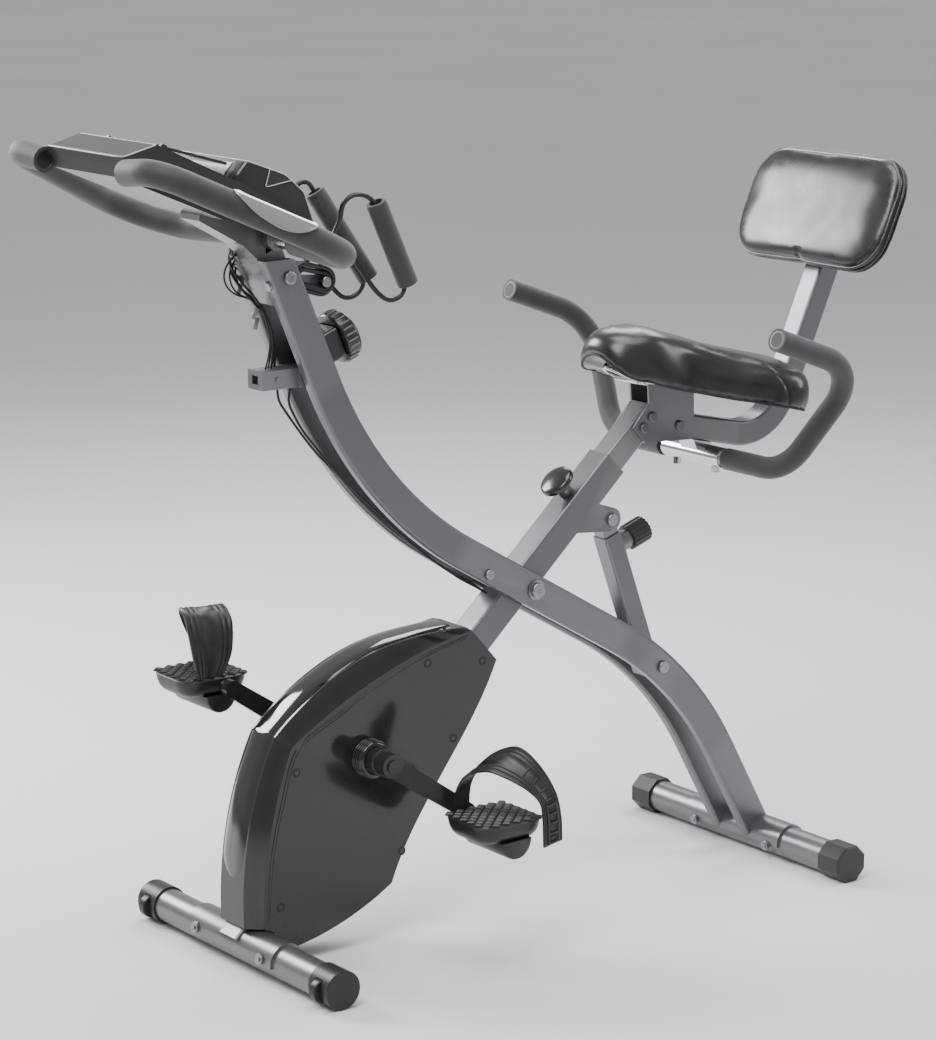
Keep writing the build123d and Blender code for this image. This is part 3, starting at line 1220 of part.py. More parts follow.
parts["mast_cables"] = [cable(points, LEAD_RADIUS) for points in LEADS + LOWER_LEADS]
parts["band_coil"] = build_coil()
for name, route in zip(SIDES, BAND_ROUTES):
    parts[name + "_band"] = cable(route, BAND_RADIUS)
parts["band_grips"] = [build_grip(ends) for ends in GRIP_ENDS]

os.makedirs("parts", exist_ok=True)
for name, shape in parts.items():
    solids = shape if isinstance(shape, list) else shape.solids()
    moved = [Pos(CENTRE_X, 0, 0) * solid for solid in solids]
    export_step(Compound(children=moved) if len(moved) > 1 else moved[0], f"parts/{name}.step")
print(len(parts), "parts")
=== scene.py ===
import json
import math

import bmesh
import bpy
from mathutils import Matrix, Vector

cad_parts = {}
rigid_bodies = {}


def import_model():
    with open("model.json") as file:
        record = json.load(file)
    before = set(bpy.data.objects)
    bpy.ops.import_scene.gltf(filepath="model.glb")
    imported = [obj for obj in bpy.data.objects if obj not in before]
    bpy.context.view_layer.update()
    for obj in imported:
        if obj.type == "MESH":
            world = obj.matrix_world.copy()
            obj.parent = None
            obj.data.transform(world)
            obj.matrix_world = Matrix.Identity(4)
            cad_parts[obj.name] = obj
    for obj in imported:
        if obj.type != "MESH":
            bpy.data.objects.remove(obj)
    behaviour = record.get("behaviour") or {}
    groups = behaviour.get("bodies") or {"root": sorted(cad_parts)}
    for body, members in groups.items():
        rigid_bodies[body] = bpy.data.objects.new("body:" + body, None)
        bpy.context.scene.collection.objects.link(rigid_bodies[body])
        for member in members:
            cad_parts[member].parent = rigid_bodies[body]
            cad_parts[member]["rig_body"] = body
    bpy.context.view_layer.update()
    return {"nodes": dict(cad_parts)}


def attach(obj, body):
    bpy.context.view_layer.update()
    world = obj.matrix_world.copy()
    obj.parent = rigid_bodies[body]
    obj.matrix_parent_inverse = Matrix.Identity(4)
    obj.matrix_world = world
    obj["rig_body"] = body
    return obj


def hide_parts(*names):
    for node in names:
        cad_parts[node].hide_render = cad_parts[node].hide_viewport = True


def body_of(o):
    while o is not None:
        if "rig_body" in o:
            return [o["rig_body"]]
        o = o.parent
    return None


# Folding exercise bike. Lengths are in metres; X points forward, Y to the rider's left, Z up.
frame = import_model()
MM = 0.001
FLOOR_RADIUS = 150.0
CENTRE_X = 0.452        # where the front foot's axis lies, ahead of the middle of the footprint


# ---------------------------------------------------------------- camera, lights, stage
def view_direction(yaw, pitch):
    y, p = math.radians(yaw), math.radians(pitch)
    return Vector((math.sin(y) * math.cos(p), math.cos(y) * math.cos(p), math.sin(p)))


def make_camera():
    target, distance = Vector((0.0568, 0.0, 0.5929)), 4.881
    direction = view_direction(36.42, 12.04)
    data = bpy.data.cameras.new("camera")
    data.lens, data.sensor_width = 115.89, 36.0
    camera = placed("camera", data)
    camera.location = target + direction * distance
    camera.rotation_euler = direction.to_track_quat("Z", "Y").to_euler()
    bpy.context.scene.camera = camera


def area_light(name, yaw, pitch, distance, size, power, colour=(1, 1, 1)):
    direction = view_direction(yaw, pitch)
    data = bpy.data.lights.new(name, "AREA")
    data.shape, data.size, data.size_y = "RECTANGLE", size[0], size[1]
    data.energy, data.color = power, colour
    light = placed(name, data)
    light.location = Vector((0.0, 0.0, 0.6)) + direction * distance
    light.rotation_euler = direction.to_track_quat("Z", "Y").to_euler()
    light.visible_camera = False


def make_stage():
    world = bpy.data.worlds.new("studio")
    bpy.context.scene.world = world
    world.use_nodes = True
    world.node_tree.nodes["Background"].inputs[0].default_value = (0.86, 0.87, 0.89, 1)
    world.node_tree.nodes["Background"].inputs[1].default_value = 0.62
    rim = [(FLOOR_RADIUS * math.cos(math.radians(a)), FLOOR_RADIUS * math.sin(math.radians(a)), -0.0005)
           for a in range(0, 360, 6)]
    floor = mesh_object("floor", rim, [tuple(range(len(rim)))], False)
    floor.data.materials.append(floor_paint())
    area_light("key", 62, 50, 3.4, (1.6, 1.6), 70)
    area_light("side", -58, 26, 3.6, (0.9, 2.2), 34, (0.94, 0.97, 1))
    area_light("sheen", 155.6, 25, 3.05, (1.25, 1.25), 95)
    area_light("back", 228, 40, 3.6, (2.4, 1.2), 60)
    area_light("top", 20, 86, 3.0, (1.6, 2.2), 60)


# ---------------------------------------------------------------- materials
def new_material(name, colour, rough, settings=None):
    """A material, its node tree and its shader, with the shader's constants set by name."""
    material = bpy.data.materials.new(name)
    material.use_nodes = True
    shader = material.node_tree.nodes["Principled BSDF"]
    shader.inputs["Base Color"].default_value = (*colour, 1)
    shader.inputs["Roughness"].default_value = rough
    for key, value in (settings or {}).items():
        shader.inputs[key].default_value = value
    return material, material.node_tree, shader


def texture(tree, kind, scale, **settings):
    """A texture node in object space, at a number of repeats per metre."""
    place = tree.nodes.new("ShaderNodeTexCoord")
    node = tree.nodes.new(kind)
    node.inputs["Scale"].default_value = scale
    for key, value in settings.items():
        node.inputs[key].default_value = value
    tree.links.new(place.outputs["Object"], node.inputs["Vector"])
    return node


def noise(tree, scale, detail):
    return texture(tree, "ShaderNodeTexNoise", scale, Detail=detail).outputs["Fac"]


def bumped(tree, shader, height, strength, distance, before=None):
    """Adds a bump from a height, on top of the bump before it."""
    bump = tree.nodes.new("ShaderNodeBump")
    bump.inputs["Strength"].default_value = strength
    bump.inputs["Distance"].default_value = distance
    tree.links.new(height, bump.inputs["Height"])
    if before:
        tree.links.new(before.outputs["Normal"], bump.inputs["Normal"])
    tree.links.new(bump.outputs["Normal"], shader.inputs["Normal"])
    return bump


def varied(tree, shader, source, low, high):
    """Maps a texture's 0.3 to 0.7 onto a range of roughness."""
    ramp = tree.nodes.new("ShaderNodeMapRange")
    ramp.inputs["From Min"].default_value, ramp.inputs["From Max"].default_value = 0.3, 0.7
    ramp.inputs["To Min"].default_value, ramp.inputs["To Max"].default_value = low, high
    tree.links.new(source, ramp.inputs["Value"])
    tree.links.new(ramp.outputs["Result"], shader.inputs["Roughness"])


def tinted(tree, shader, source, dark, light, span=(0.3, 0.7)):
    """Blends the base colour from dark to light over a span of the source."""
    ramp = tree.nodes.new("ShaderNodeValToRGB")
    for element, position, colour in zip(ramp.color_ramp.elements, span, (dark, light)):
        element.position, element.color = position, (*colour, 1)
    tree.links.new(source, ramp.inputs["Fac"])
    tree.links.new(ramp.outputs["Color"], shader.inputs["Base Color"])


def scaled(colour, factor, lift=0.0):
    return tuple(min(1, c * factor + lift) for c in colour)


def edge_highlight_tint(tree, shader, base, highlight):
    """Lightens the colour a little where the surface turns sharply: a painted highlight along the edges."""
    geometry = tree.nodes.new("ShaderNodeNewGeometry")
    tinted(tree, shader, geometry.outputs["Pointiness"], base, highlight, (0.50, 0.62))


def floor_paint():
    """Matte studio floor with a barely uneven tone."""
    material, tree, shader = new_material("floor_paint", (0.80, 0.80, 0.80), 0.9, {"Specular IOR Level": 0.1})
    tinted(tree, shader, noise(tree, 0.8, 2), (0.785, 0.785, 0.785), (0.815, 0.815, 0.815))
    return material


def paint(name, colour, rough, metallic):
    """Satin powder coat with a fine orange peel and slightly uneven gloss."""
    material, tree, shader = new_material(
        name, colour, rough, {"Metallic": metallic, "Coat Weight": 0.15, "Coat Roughness": 0.25})
    # Painted highlight: lighter colour along the paint's sharp edges.
    edge_highlight_tint(tree, shader, colour, scaled(colour, 1.35))
    varied(tree, shader, noise(tree, 7, 3), rough - 0.05, rough + 0.06)
    bumped(tree, shader, noise(tree, 900, 2), 0.12, 0.0003)
    return material


def metal(name, colour, rough, grain=600):
    """Plated metal with a fine uneven grain."""
    material, tree, shader = new_material(name, colour, rough, {"Metallic": 1.0})
    streaks = noise(tree, grain, 2)
    varied(tree, shader, streaks, rough - 0.05, rough + 0.08)
    bumped(tree, shader, streaks, 0.08, 0.0002)
    return material


def plastic(name, colour, rough, bump=0.1, grain=700, coat=0.0, gleam=0.4):
    """Moulded plastic: fine spark-eroded grain when matte, faint ripples when glossy."""
    material, tree, shader = new_material(
        name, colour, rough, {"Coat Weight": coat, "Coat Roughness": 0.08, "Specular IOR Level": gleam})
    # Painted highlight: lighter colour along the plastic's sharp edges.
    edge_highlight_tint(tree, shader, colour, scaled(colour, 1.5, 0.01))
    varied(tree, shader, noise(tree, 9, 4), rough * 0.85, rough * 1.2)
    bumped(tree, shader, noise(tree, grain, 3), bump, 0.0004)
    return material


def foam(name, colour):
    """Closed-cell foam: matte, with small pores and a faint mottle."""
    material, tree, shader = new_material(name, colour, 0.62, {"Sheen Weight": 0.25, "Sheen Roughness": 0.5})
    mottle = noise(tree, 60, 4)
    tinted(tree, shader, mottle, scaled(colour, 0.8), scaled(colour, 1.25))
    pores = texture(tree, "ShaderNodeTexVoronoi", 1400)
    first = bumped(tree, shader, pores.outputs["Distance"], 0.35, 0.0004)
    bumped(tree, shader, mottle, 0.15, 0.001, first)
    return material


def rubber(name, colour, rough=0.6):
    """Moulded rubber with a dusty unevenness."""
    material, tree, shader = new_material(name, colour, rough)
    dust = noise(tree, 45, 5)
    tinted(tree, shader, dust, scaled(colour, 0.75), scaled(colour, 1.4))
    varied(tree, shader, dust, rough - 0.08, rough + 0.1)
    bumped(tree, shader, noise(tree, 1100, 2), 0.12, 0.0003)
    return material


def leather(name, colour, rough):
    """Glossy synthetic leather: fine cell grain over soft broad wrinkles."""
    material, tree, shader = new_material(name, colour, rough, {"Coat Weight": 0.45, "Coat Roughness": 0.24})
    cells = texture(tree, "ShaderNodeTexVoronoi", 900)
    cells.feature = "DISTANCE_TO_EDGE"
    wrinkles = noise(tree, 22, 5)
    tinted(tree, shader, wrinkles, scaled(colour, 0.8), scaled(colour, 1.3))
    varied(tree, shader, wrinkles, rough - 0.06, rough + 0.08)
    first = bumped(tree, shader, cells.outputs["Distance"], 0.10, 0.0003)
    bumped(tree, shader, wrinkles, 0.05, 0.0010, first)
    return material


def screen_glass():
    """Pale liquid-crystal display under a clear window."""
    material, tree, shader = new_material(
        "display", (0.50, 0.54, 0.52), 0.16, {"Coat Weight": 1.0, "Coat Roughness": 0.03})
    tinted(tree, shader, noise(tree, 30, 3), (0.44, 0.48, 0.46), (0.56, 0.60, 0.58))
    return material


# ---------------------------------------------------------------- mesh helpers
def placed(name, data):
    """An object in the scene with the given name and data."""
    piece = bpy.data.objects.new(name, data)
    bpy.context.scene.collection.objects.link(piece)
    return piece


def mesh_object(name, points, faces, smooth=True):
    mesh = bpy.data.meshes.new(name)
    mesh.from_pydata([tuple(p) for p in points], [], faces)
    mesh.update()
    if smooth:
        mesh.shade_smooth()
    return placed(name, mesh)


def loft(name, rings, smooth=True):
    """Closed skin over rings that have as many points each, with a flat cap on each end."""
    count = len(rings[0])
    points = [p for ring in rings for p in ring]
    faces = []
    for i in range(len(rings) - 1):
        for j in range(count):
            k = (j + 1) % count
            faces.append((i * count + j, i * count + k, (i + 1) * count + k, (i + 1) * count + j))
    faces.append(tuple(reversed(range(count))))
    faces.append(tuple(range((len(rings) - 1) * count, len(rings) * count)))
    piece = mesh_object(name, points, faces, smooth)
    outward(piece)
    return piece


def outward(piece):
    """Turns every face of a mesh outwards."""
    form = bmesh.new()
    form.from_mesh(piece.data)
    bmesh.ops.recalc_face_normals(form, faces=form.faces)
    form.to_mesh(piece.data)
    form.free()


def evaluated(piece):
    """A mesh of the piece as its modifiers or its curve make it."""
    return bpy.data.meshes.new_from_object(piece.evaluated_get(bpy.context.evaluated_depsgraph_get()))


def apply_modifiers(piece):
    mesh = evaluated(piece)
    piece.modifiers.clear()
    piece.data = mesh


def rounded(piece, width):
    """Bevels the sharp edges of a piece."""
    modifier = piece.modifiers.new("round", "BEVEL")
    modifier.width, modifier.segments = width, 2
    modifier.limit_method, modifier.angle_limit = "ANGLE", math.radians(32)
    modifier.harden_normals = True
    piece.data.shade_smooth()
    apply_modifiers(piece)


def finished(piece, node, material, smooth_angle=None):
    """Gives a piece its material, and the body that a CAD node rides on."""
    piece.data.materials.clear()
    piece.data.materials.append(material)
    if smooth_angle:
        piece.data.shade_smooth()
        piece.data.set_sharp_from_angle(angle=math.radians(smooth_angle))
    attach(piece, frame_body(node))


def stand_in(piece, node, material, smooth_angle=None):
    """Finishes a piece that is shown in place of a CAD node."""
    finished(piece, node, material, smooth_angle)
    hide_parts(node)


def joined(name, pieces):
    """One mesh from several."""
    form = bmesh.new()
    for piece in pieces:
        form.from_mesh(piece.data)
        bpy.data.objects.remove(piece)
    mesh = bpy.data.meshes.new(name)
    form.to_mesh(mesh)
    form.free()
    return placed(name, mesh)


def tube(name, points, radius, closed=False, sides=4):
    """Round bar along a smooth line through control points."""
    curve = bpy.data.curves.new(name, "CURVE")
    curve.dimensions = "3D"
    curve.bevel_depth, curve.bevel_resolution = radius, sides
    curve.resolution_u, curve.use_fill_caps = 12, True
    spline = curve.splines.new("NURBS")
    spline.points.add(len(points) - 1)
    for target, point in zip(spline.points, points):
        target.co = (*point, 1)
    spline.order_u = 3
    spline.use_cyclic_u = closed
    spline.use_endpoint_u = not closed
    return placed(name, curve)


def bar(name, points, radius, closed=False, sides=4):
    """The same round bar, as a mesh."""
    curve = tube(name, points, radius, closed, sides)
    mesh = evaluated(curve)
    bpy.data.objects.remove(curve)
    return placed(name, mesh)


def axes(origin, x_axis, z_axis):
    """Placement matrix with the given local X and Z directions."""
    z = Vector(z_axis).normalized()
    x = (Vector(x_axis) - z * Vector(x_axis).dot(z)).normalized()
    y = z.cross(x)
    matrix = Matrix((x, y, z)).transposed().to_4x4()
    matrix.translation = Vector(origin)
    return matrix


def block(name, size, place, bevel):
    """Box with rounded edges, centred on a placement."""
    x, y, z = (s / 2 for s in size)
    points = [(i, j, k) for i in (-x, x) for j in (-y, y) for k in (-z, z)]
    faces = [(0, 1, 3, 2), (4, 6, 7, 5), (0, 4, 5, 1), (2, 3, 7, 6), (0, 2, 6, 4), (1, 5, 7, 3)]
    piece = mesh_object(name, points, faces, False)
    outward(piece)
    rounded(piece, min(bevel, 0.45 * min(size)))
    piece.data.transform(place)
    return piece


def turned(name, profile, place, sides):
    """Solid of revolution about the placement's Z, from (radius, height) pairs in millimetres."""
    turns = [2 * math.pi * i / sides for i in range(sides)]
    rings = [[(radius * MM * math.cos(a), radius * MM * math.sin(a), height * MM) for a in turns]
             for radius, height in profile]
    piece = loft(name, rings)
    piece.data.transform(place)
    return piece


# ---------------------------------------------------------------- the bike's own measures
def spot(x, y, z):
    """Point given in millimetres with X from the front foot's axis."""
    return Vector((x * MM + CENTRE_X, y * MM, z * MM))


def heading(angle):
    """Unit vector in the XZ plane at an angle above +X, in degrees."""
    return Vector((math.cos(math.radians(angle)), 0, math.sin(math.radians(angle))))


def sideways(x, y, z, side):
    """Placement at a point given for the left, on either side, with local Z out from the bike."""
    return axes(spot(x, side * y, z), (1, 0, 0), (0, side, 0))


def left_or_right(side):
    """Word for a side, where 1 is the rider's left."""
    return "left" if side > 0 else "right"


def frame_body(node):
    """Name of the body that a CAD node rides on."""
    return body_of(frame["nodes"][node])[0]


def smooth_line(stations, steps):
    """Catmull-Rom points through stations given as tuples."""
    vectors = [Vector(s) for s in stations]
    result = []
    for i in range(len(vectors) - 1):
        before = vectors[max(i - 1, 0)]
        after = vectors[min(i + 2, len(vectors) - 1)]
        for step in range(steps):
            t = step / steps
            a = 2 * vectors[i]
            b = vectors[i + 1] - before
            c = 2 * before - 5 * vectors[i] + 4 * vectors[i + 1] - after
            d = 3 * vectors[i] - before - 3 * vectors[i + 1] + after
            result.append(0.5 * (a + b * t + c * t * t + d * t * t * t))
    result.append(vectors[-1])
    return result


def eased(table, value):
    """Smooth value of a table of (place, value) pairs at a place."""
    if value <= table[0][0]:
        return table[0][1]
    for (a, low), (b, high) in zip(table, table[1:]):
        if value <= b:
            t = (value - a) / (b - a)
            return low + (high - low) * t * t * (3 - 2 * t)
    return table[-1][1]


# ---------------------------------------------------------------- soft parts
def cushion(name, outline, medial, levels, place):
    """Closed pad from rings of its outline.

    Each level is (share, height): share 1 is the outline and 0 the medial line, and height
    is a function of a ring point. Both ends are closed at their medial line.
    """
    rings = []
    for share, height in levels:
        ring = []
        for point, centre in zip(outline, medial):
            flat = centre + (point - centre) * share
            ring.append(Vector((flat.x, flat.y, height(flat.x, flat.y))))
        rings.append(ring)
    piece = loft(name, rings)
    form = bmesh.new()
    form.from_mesh(piece.data)
    bmesh.ops.remove_doubles(form, verts=form.verts, dist=0.00005)
    bmesh.ops.triangulate(form, faces=[f for f in form.faces if len(f.verts) > 4])
    bmesh.ops.recalc_face_normals(form, faces=form.faces)
    form.to_mesh(piece.data)
    form.free()
    piece.data.transform(place)
    return piece


VOXEL, SWELL = 0.005, 0.004     # remesh size, and the most that a pad's skin may move
CLOTH_STEPS = 20


def padded_form(piece, pressure):
    """Remeshes a pad and inflates it as cloth, fading its movement out towards the limit."""
    remesh = piece.modifiers.new("remesh", "REMESH")
    remesh.mode, remesh.voxel_size = "VOXEL", VOXEL
    apply_modifiers(piece)
    before = [v.co.copy() for v in piece.data.vertices]
    cloth = piece.modifiers.new("cloth", "CLOTH")
    cloth.settings.use_pressure = True
    cloth.settings.uniform_pressure_force = pressure
    cloth.settings.effector_weights.gravity = 0
    cloth.settings.tension_stiffness = cloth.settings.compression_stiffness = 60
    cloth.settings.bending_stiffness = 12
    cloth.point_cache.frame_start, cloth.point_cache.frame_end = 1, CLOTH_STEPS
    for step in range(1, CLOTH_STEPS + 1):
        bpy.context.scene.frame_set(step)
    apply_modifiers(piece)
    bpy.context.scene.frame_set(1)
    for vertex, start in zip(piece.data.vertices, before):
        move = vertex.co - start
        if move.length > 1e-6:
            vertex.co = start + move * (SWELL * math.tanh(move.length / SWELL) / move.length)
    settle = piece.modifiers.new("settle", "SMOOTH")
    settle.iterations, settle.factor = 16, 0.6
    apply_modifiers(piece)
    smooth = piece.modifiers.new("smooth", "SUBSURF")
    smooth.levels = smooth.render_levels = 1
    apply_modifiers(piece)
    piece.data.shade_smooth()


def pressed(piece, depth_at):
    """Moves a pad's points along their normals by a function of their place."""
    mesh = piece.data
    moves = [vertex.normal * depth_at(vertex.co) for vertex in mesh.vertices]
    for vertex, move in zip(mesh.vertices, moves):
        vertex.co += move
    mesh.update()


def on_surface(piece, points, lift):
    """The nearest points of a piece's surface, lifted off it."""
    result = []
    for point in points:
        _, place, normal, _ = piece.closest_point_on_mesh(point)
        result.append(place + normal * lift)
    return result


def stitches(name, line, length, radius, gap):
    """Short raised stitches along a line of points."""
    pieces = []
    run, place = 0.0, 0
    stops = []
    for a, b in zip(line, line[1:]):
        step = (b - a).length
        while place <= run + step and step > 1e-9:
            t = (place - run) / step
            stops.append((a + (b - a) * t, (b - a).normalized()))
            place += length + gap
        run += step
    for i, (middle, along) in enumerate(stops):
        ring = [middle - along * length / 2, middle, middle + along * length / 2]
        pieces.append(bar(f"{name}_{i}", ring, radius, sides=1))
    return joined(name, pieces)


SEAT_NOSE, SEAT_DIR = (-616, 784), 193.0
SEAT_HALF_WIDTHS = [(15, 45), (65, 70), (130, 78), (200, 110), (260, 145), (300, 150), (328, 122)]
SEAT_LENGTH = 336
SEAT_CROWN = [(0, 58), (32, 75), (74, 84), (130, 80), (190, 75), (250, 73), (305, 74), (336, 66)]


def seat_place():
    """Placement with local X back along the saddle and Z up from its base."""
    c, s = heading(SEAT_DIR).x, heading(SEAT_DIR).z
    matrix = Matrix(((c, 0, s, 0), (0, -1, 0, 0), (s, 0, -c, 0), (0, 0, 0, 1)))
    matrix.translation = spot(SEAT_NOSE[0], 0, SEAT_NOSE[1])
    return matrix


def seat_edge(inset=0.0, steps=6):
    """Plan outline of the saddle in its own plane, in metres, from the nose round one side."""
    corners = [(0, 0, 0)] + [(u, v, 0) for u, v in SEAT_HALF_WIDTHS] + [(SEAT_LENGTH, 0, 0)]
    corners += [(u, -v, 0) for u, v in reversed(SEAT_HALF_WIDTHS)] + [(0, 0, 0)]
    wrapped = [corners[-2]] + corners + [corners[1]]
    line = smooth_line(wrapped, steps)[steps:-steps - 1]
    middle = Vector((SEAT_LENGTH / 2, 0, 0))
    moved = [p + (middle - p).normalized() * inset for p in line]
    return [p * MM for p in moved]


def seat_top(u, v):
    """Height of the saddle's top skin, in metres: nose hump, waist and raised rear."""
    back, out = u / MM, v / MM
    crown = eased(SEAT_CROWN, back)
    half = eased([(-5, 44)] + SEAT_HALF_WIDTHS + [(340, 118)], back)
    drop = 17 * abs(out / half) ** 2.6
    groove = 1.2 * math.exp(-(out / 26) ** 2) * eased([(120, 0), (180, 1), (310, 1), (335, 0)], back)
    return (crown - drop - groove) * MM


def seat_foot(u, v):
    """Height of the saddle's lower rim, raised in an arch under the nose."""
    back, out = u / MM, v / MM
    arch = max(0, 1 - (out / 56) ** 2) * eased([(0, 1), (30, 0.9), (80, 0)], back)
    return 27 * arch * MM


def make_seat(material, trim):
    """The saddle's padded skin with its seams, and the edge round its rim."""
    place = seat_place()
    to_local = place.inverted()
    outline = seat_edge()
    medial = [Vector((min(max(p.x, 0.075), 0.265), 0, 0)) for p in outline]

    def between(part, drop=0.0):
        return lambda u, v: seat_foot(u, v) * (1 - part) + (seat_top(u, v) - drop) * part

    def underside(rise):
        return lambda u, v: max(seat_foot(u, v), rise)

    levels = [(0.0, underside(0.016)), (0.5, underside(0.016)), (0.84, underside(0.014)),
              (0.90, underside(0.002)), (0.985, seat_foot), (1.0, between(0.12)),
              (1.0, between(0.4)), (0.99, between(0.68)), (0.965, between(0.86, 0.001)),
              (0.91, between(0.97)), (0.8, between(1)), (0.6, between(1)), (0.4, between(1)),
              (0.2, between(1)), (0.0, between(1))]
    piece = cushion("saddle_skin", outline, medial, levels, place)
    padded_form(piece, 3.0)

    def seam(point):
        """A pleat across each side near the rear, and a shallow hem above the rim."""
        local = to_local @ point
        u, v, up = local.x / MM, abs(local.y) / MM, local.z / MM
        bend = 272 - 0.010 * (up - 8) ** 2
        pleat = math.exp(-((u - bend) / 2.4) ** 2) * (1 if 10 < up < 64 and v > 70 else 0)
        hem = math.exp(-((up - seat_foot(local.x, local.y) / MM - 8) / 1.6) ** 2)
        return -0.0019 * pleat - 0.0007 * hem

    pressed(piece, seam)
    stand_in(piece, "seat_cushion", material)

    rim = [place @ Vector((p.x, p.y, seat_foot(p.x, p.y) + 0.0035)) for p in seat_edge(0.5, 4)]
    edge = bar("saddle_rim", on_surface(piece, rim, 0.0004), 0.0019, closed=True)
    finished(edge, "seat_cushion", trim)


BACK_AT, BACK_DIR = (-966, 653), 114.0
BACK_START, BACK_SIZE, BACK_CORNER = 268, (336, 188), 56
BACK_FRONT = 23.3
STRAIGHT_PARTS = 14     # equal divisions of each straight side, whatever its length


def rounded_outline(width, height, corner, steps, bow):
    """Rounded rectangle, bowed outwards along its top and bottom by a share of its height."""
    x, y = width / 2 - corner, height / 2 - corner
    points = []
    for cx, cy, start in ((x, y, 0), (-x, y, 90), (-x, -y, 180), (x, -y, 270)):
        for i in range(steps + 1):
            a = math.radians(start + 90 * i / steps)
            points.append(Vector((cx + corner * math.cos(a), cy + corner * math.sin(a), 0)))
    dense = []
    for i, (a, b) in enumerate(zip(points, points[1:] + points[:1])):
        count = STRAIGHT_PARTS if i % (steps + 1) == steps else 1
        dense += [a + (b - a) * part / count for part in range(count)]
    return [Vector((p.x, p.y + bow * (1 - (2 * p.x / width) ** 2) * (1 if p.y > 0 else -0.3), 0)) * MM
            for p in dense]


def back_place():
    """Placement at the middle of the backrest's rear face, with local Y up and Z to the rider."""
    up, out = heading(BACK_DIR), heading(BACK_DIR - 90)
    middle = BACK_START + BACK_SIZE[1] / 2
    origin = spot(BACK_AT[0], 0, BACK_AT[1]) + up * middle * MM + out * BACK_FRONT * MM
    matrix = Matrix(((0, up.x, out.x, 0), (1, 0, 0, 0), (0, up.z, out.z, 0), (0, 0, 0, 1)))
    matrix.translation = origin
    return matrix


def make_backrest(material, trim):
    """The backrest's padded skin with its channels, welts and row of stitches."""
    place = back_place()
    to_local = place.inverted()
    width, height = BACK_SIZE
    outline = rounded_outline(width - 6, height - 8, BACK_CORNER, 7, 4)
    medial = [Vector((max(-0.11, min(0.11, p.x)), max(-0.03, min(0.03, p.y)), 0)) for p in outline]

    def flat(level):
        return lambda u, v: level * MM

    def domed(level, rise):
        return lambda u, v: (level + rise * math.cos(u / MM / width * math.pi) ** 0.7) * MM

    levels = [(0.0, flat(1)), (0.6, flat(1)), (0.90, flat(1)), (0.97, flat(3)), (1.0, flat(8)),
              (1.005, flat(15)), (1.0, flat(22)), (0.975, flat(27)), (0.93, flat(30.5)),
              (0.85, domed(31.5, 1.5)), (0.65, domed(33, 2.5)), (0.35, domed(34, 3)), (0.0, domed(34, 3))]
    piece = cushion("backrest_skin", outline, medial, levels, place)
    padded_form(piece, 3.5)

    def channels(point):
        """Three sewn channels round the edge, and a notch at the middle of the lower edge."""
        local = to_local @ point
        depth = local.z / MM
        edge = 1 if max(abs(local.x) / (width / 2 * MM), abs(local.y) / (height / 2 * MM)) > 0.72 else 0
        lines = sum(math.exp(-((depth - level) / 1.8) ** 2) for level in (5.5, 13.5, 21.5))
        notch = math.exp(-((local.x / MM) / 5) ** 2) * (1 if local.y < -0.07 else 0)
        return -0.0017 * lines * edge - 0.002 * notch

    pressed(piece, channels)
    stand_in(piece, "backrest_pad", material)
    wide = rounded_outline(width - 5, height - 7, BACK_CORNER, 7, 4)
    for i, (level, inset) in enumerate(((9.5, 1.0), (17.5, 1.0), (25.5, 0.985))):
        ring = [place @ Vector((p.x * inset, p.y * inset, level * MM)) for p in wide]
        welt = bar(f"backrest_welt_{i}", on_surface(piece, ring, 0.0003), 0.0021, closed=True)
        finished(welt, "backrest_pad", material)
    inner = [place @ Vector((p.x * 0.93, p.y * 0.89, 0.033)) for p in wide]
    line = on_surface(piece, inner + inner[:1], 0.0002)
    seam = stitches("backrest_stitches", line, 0.0042, 0.0006, 0.0022)
    finished(seam, "backrest_pad", trim)


# ---------------------------------------------------------------- cords
def route(points):
    """Points given in millimetres, in the scene's own units."""
    return [spot(*p) for p in points]


LEFT_BAND = [
    (-132, 12, 987.6), (-140, 15, 1010), (-149, 23, 1034), (-154, 31, 1055), (-154, 34, 1073.7),
    (-165.5, 41.6, 1087.5), (-181.6, 52.3, 1087.5), (-194.5, 60, 1073.7), (-240.8, 60, 972.6),
    (-243, 59.5, 955), (-235, 58, 940), (-217, 54, 936), (-202, 46, 950), (-191, 37, 971),
    (-179, 29, 993), (-169, 20, 1012), (-156, 11, 1025), (-139, 4, 1027), (-124, 2, 1014),
    (-117, 1.5, 992)]
RIGHT_BAND = [
    (-124, -10, 989.6), (-122, -11, 1016), (-117, -12, 1044), (-110, -14, 1069), (-106, -14, 1092.6),
    (-115.4, -13, 1103), (-128.5, -12, 1103), (-135.4, -11, 1093.6), (-199.5, 16.4, 980),
    (-202, 18, 960), (-193, 16, 944), (-179, 11, 938), (-166, 5, 944), (-158, 0, 957)]
BAND_RADIUS = 0.0035
COIL_REAR, COIL_FRONT = (-138, 966), (-104, 975)
COIL_TURNS = [(10.4, -11.6), (17.6, -12), (17.6, -4), (17.6, 4), (17.6, 12), (10.4, 11.6)]  # radius, Y


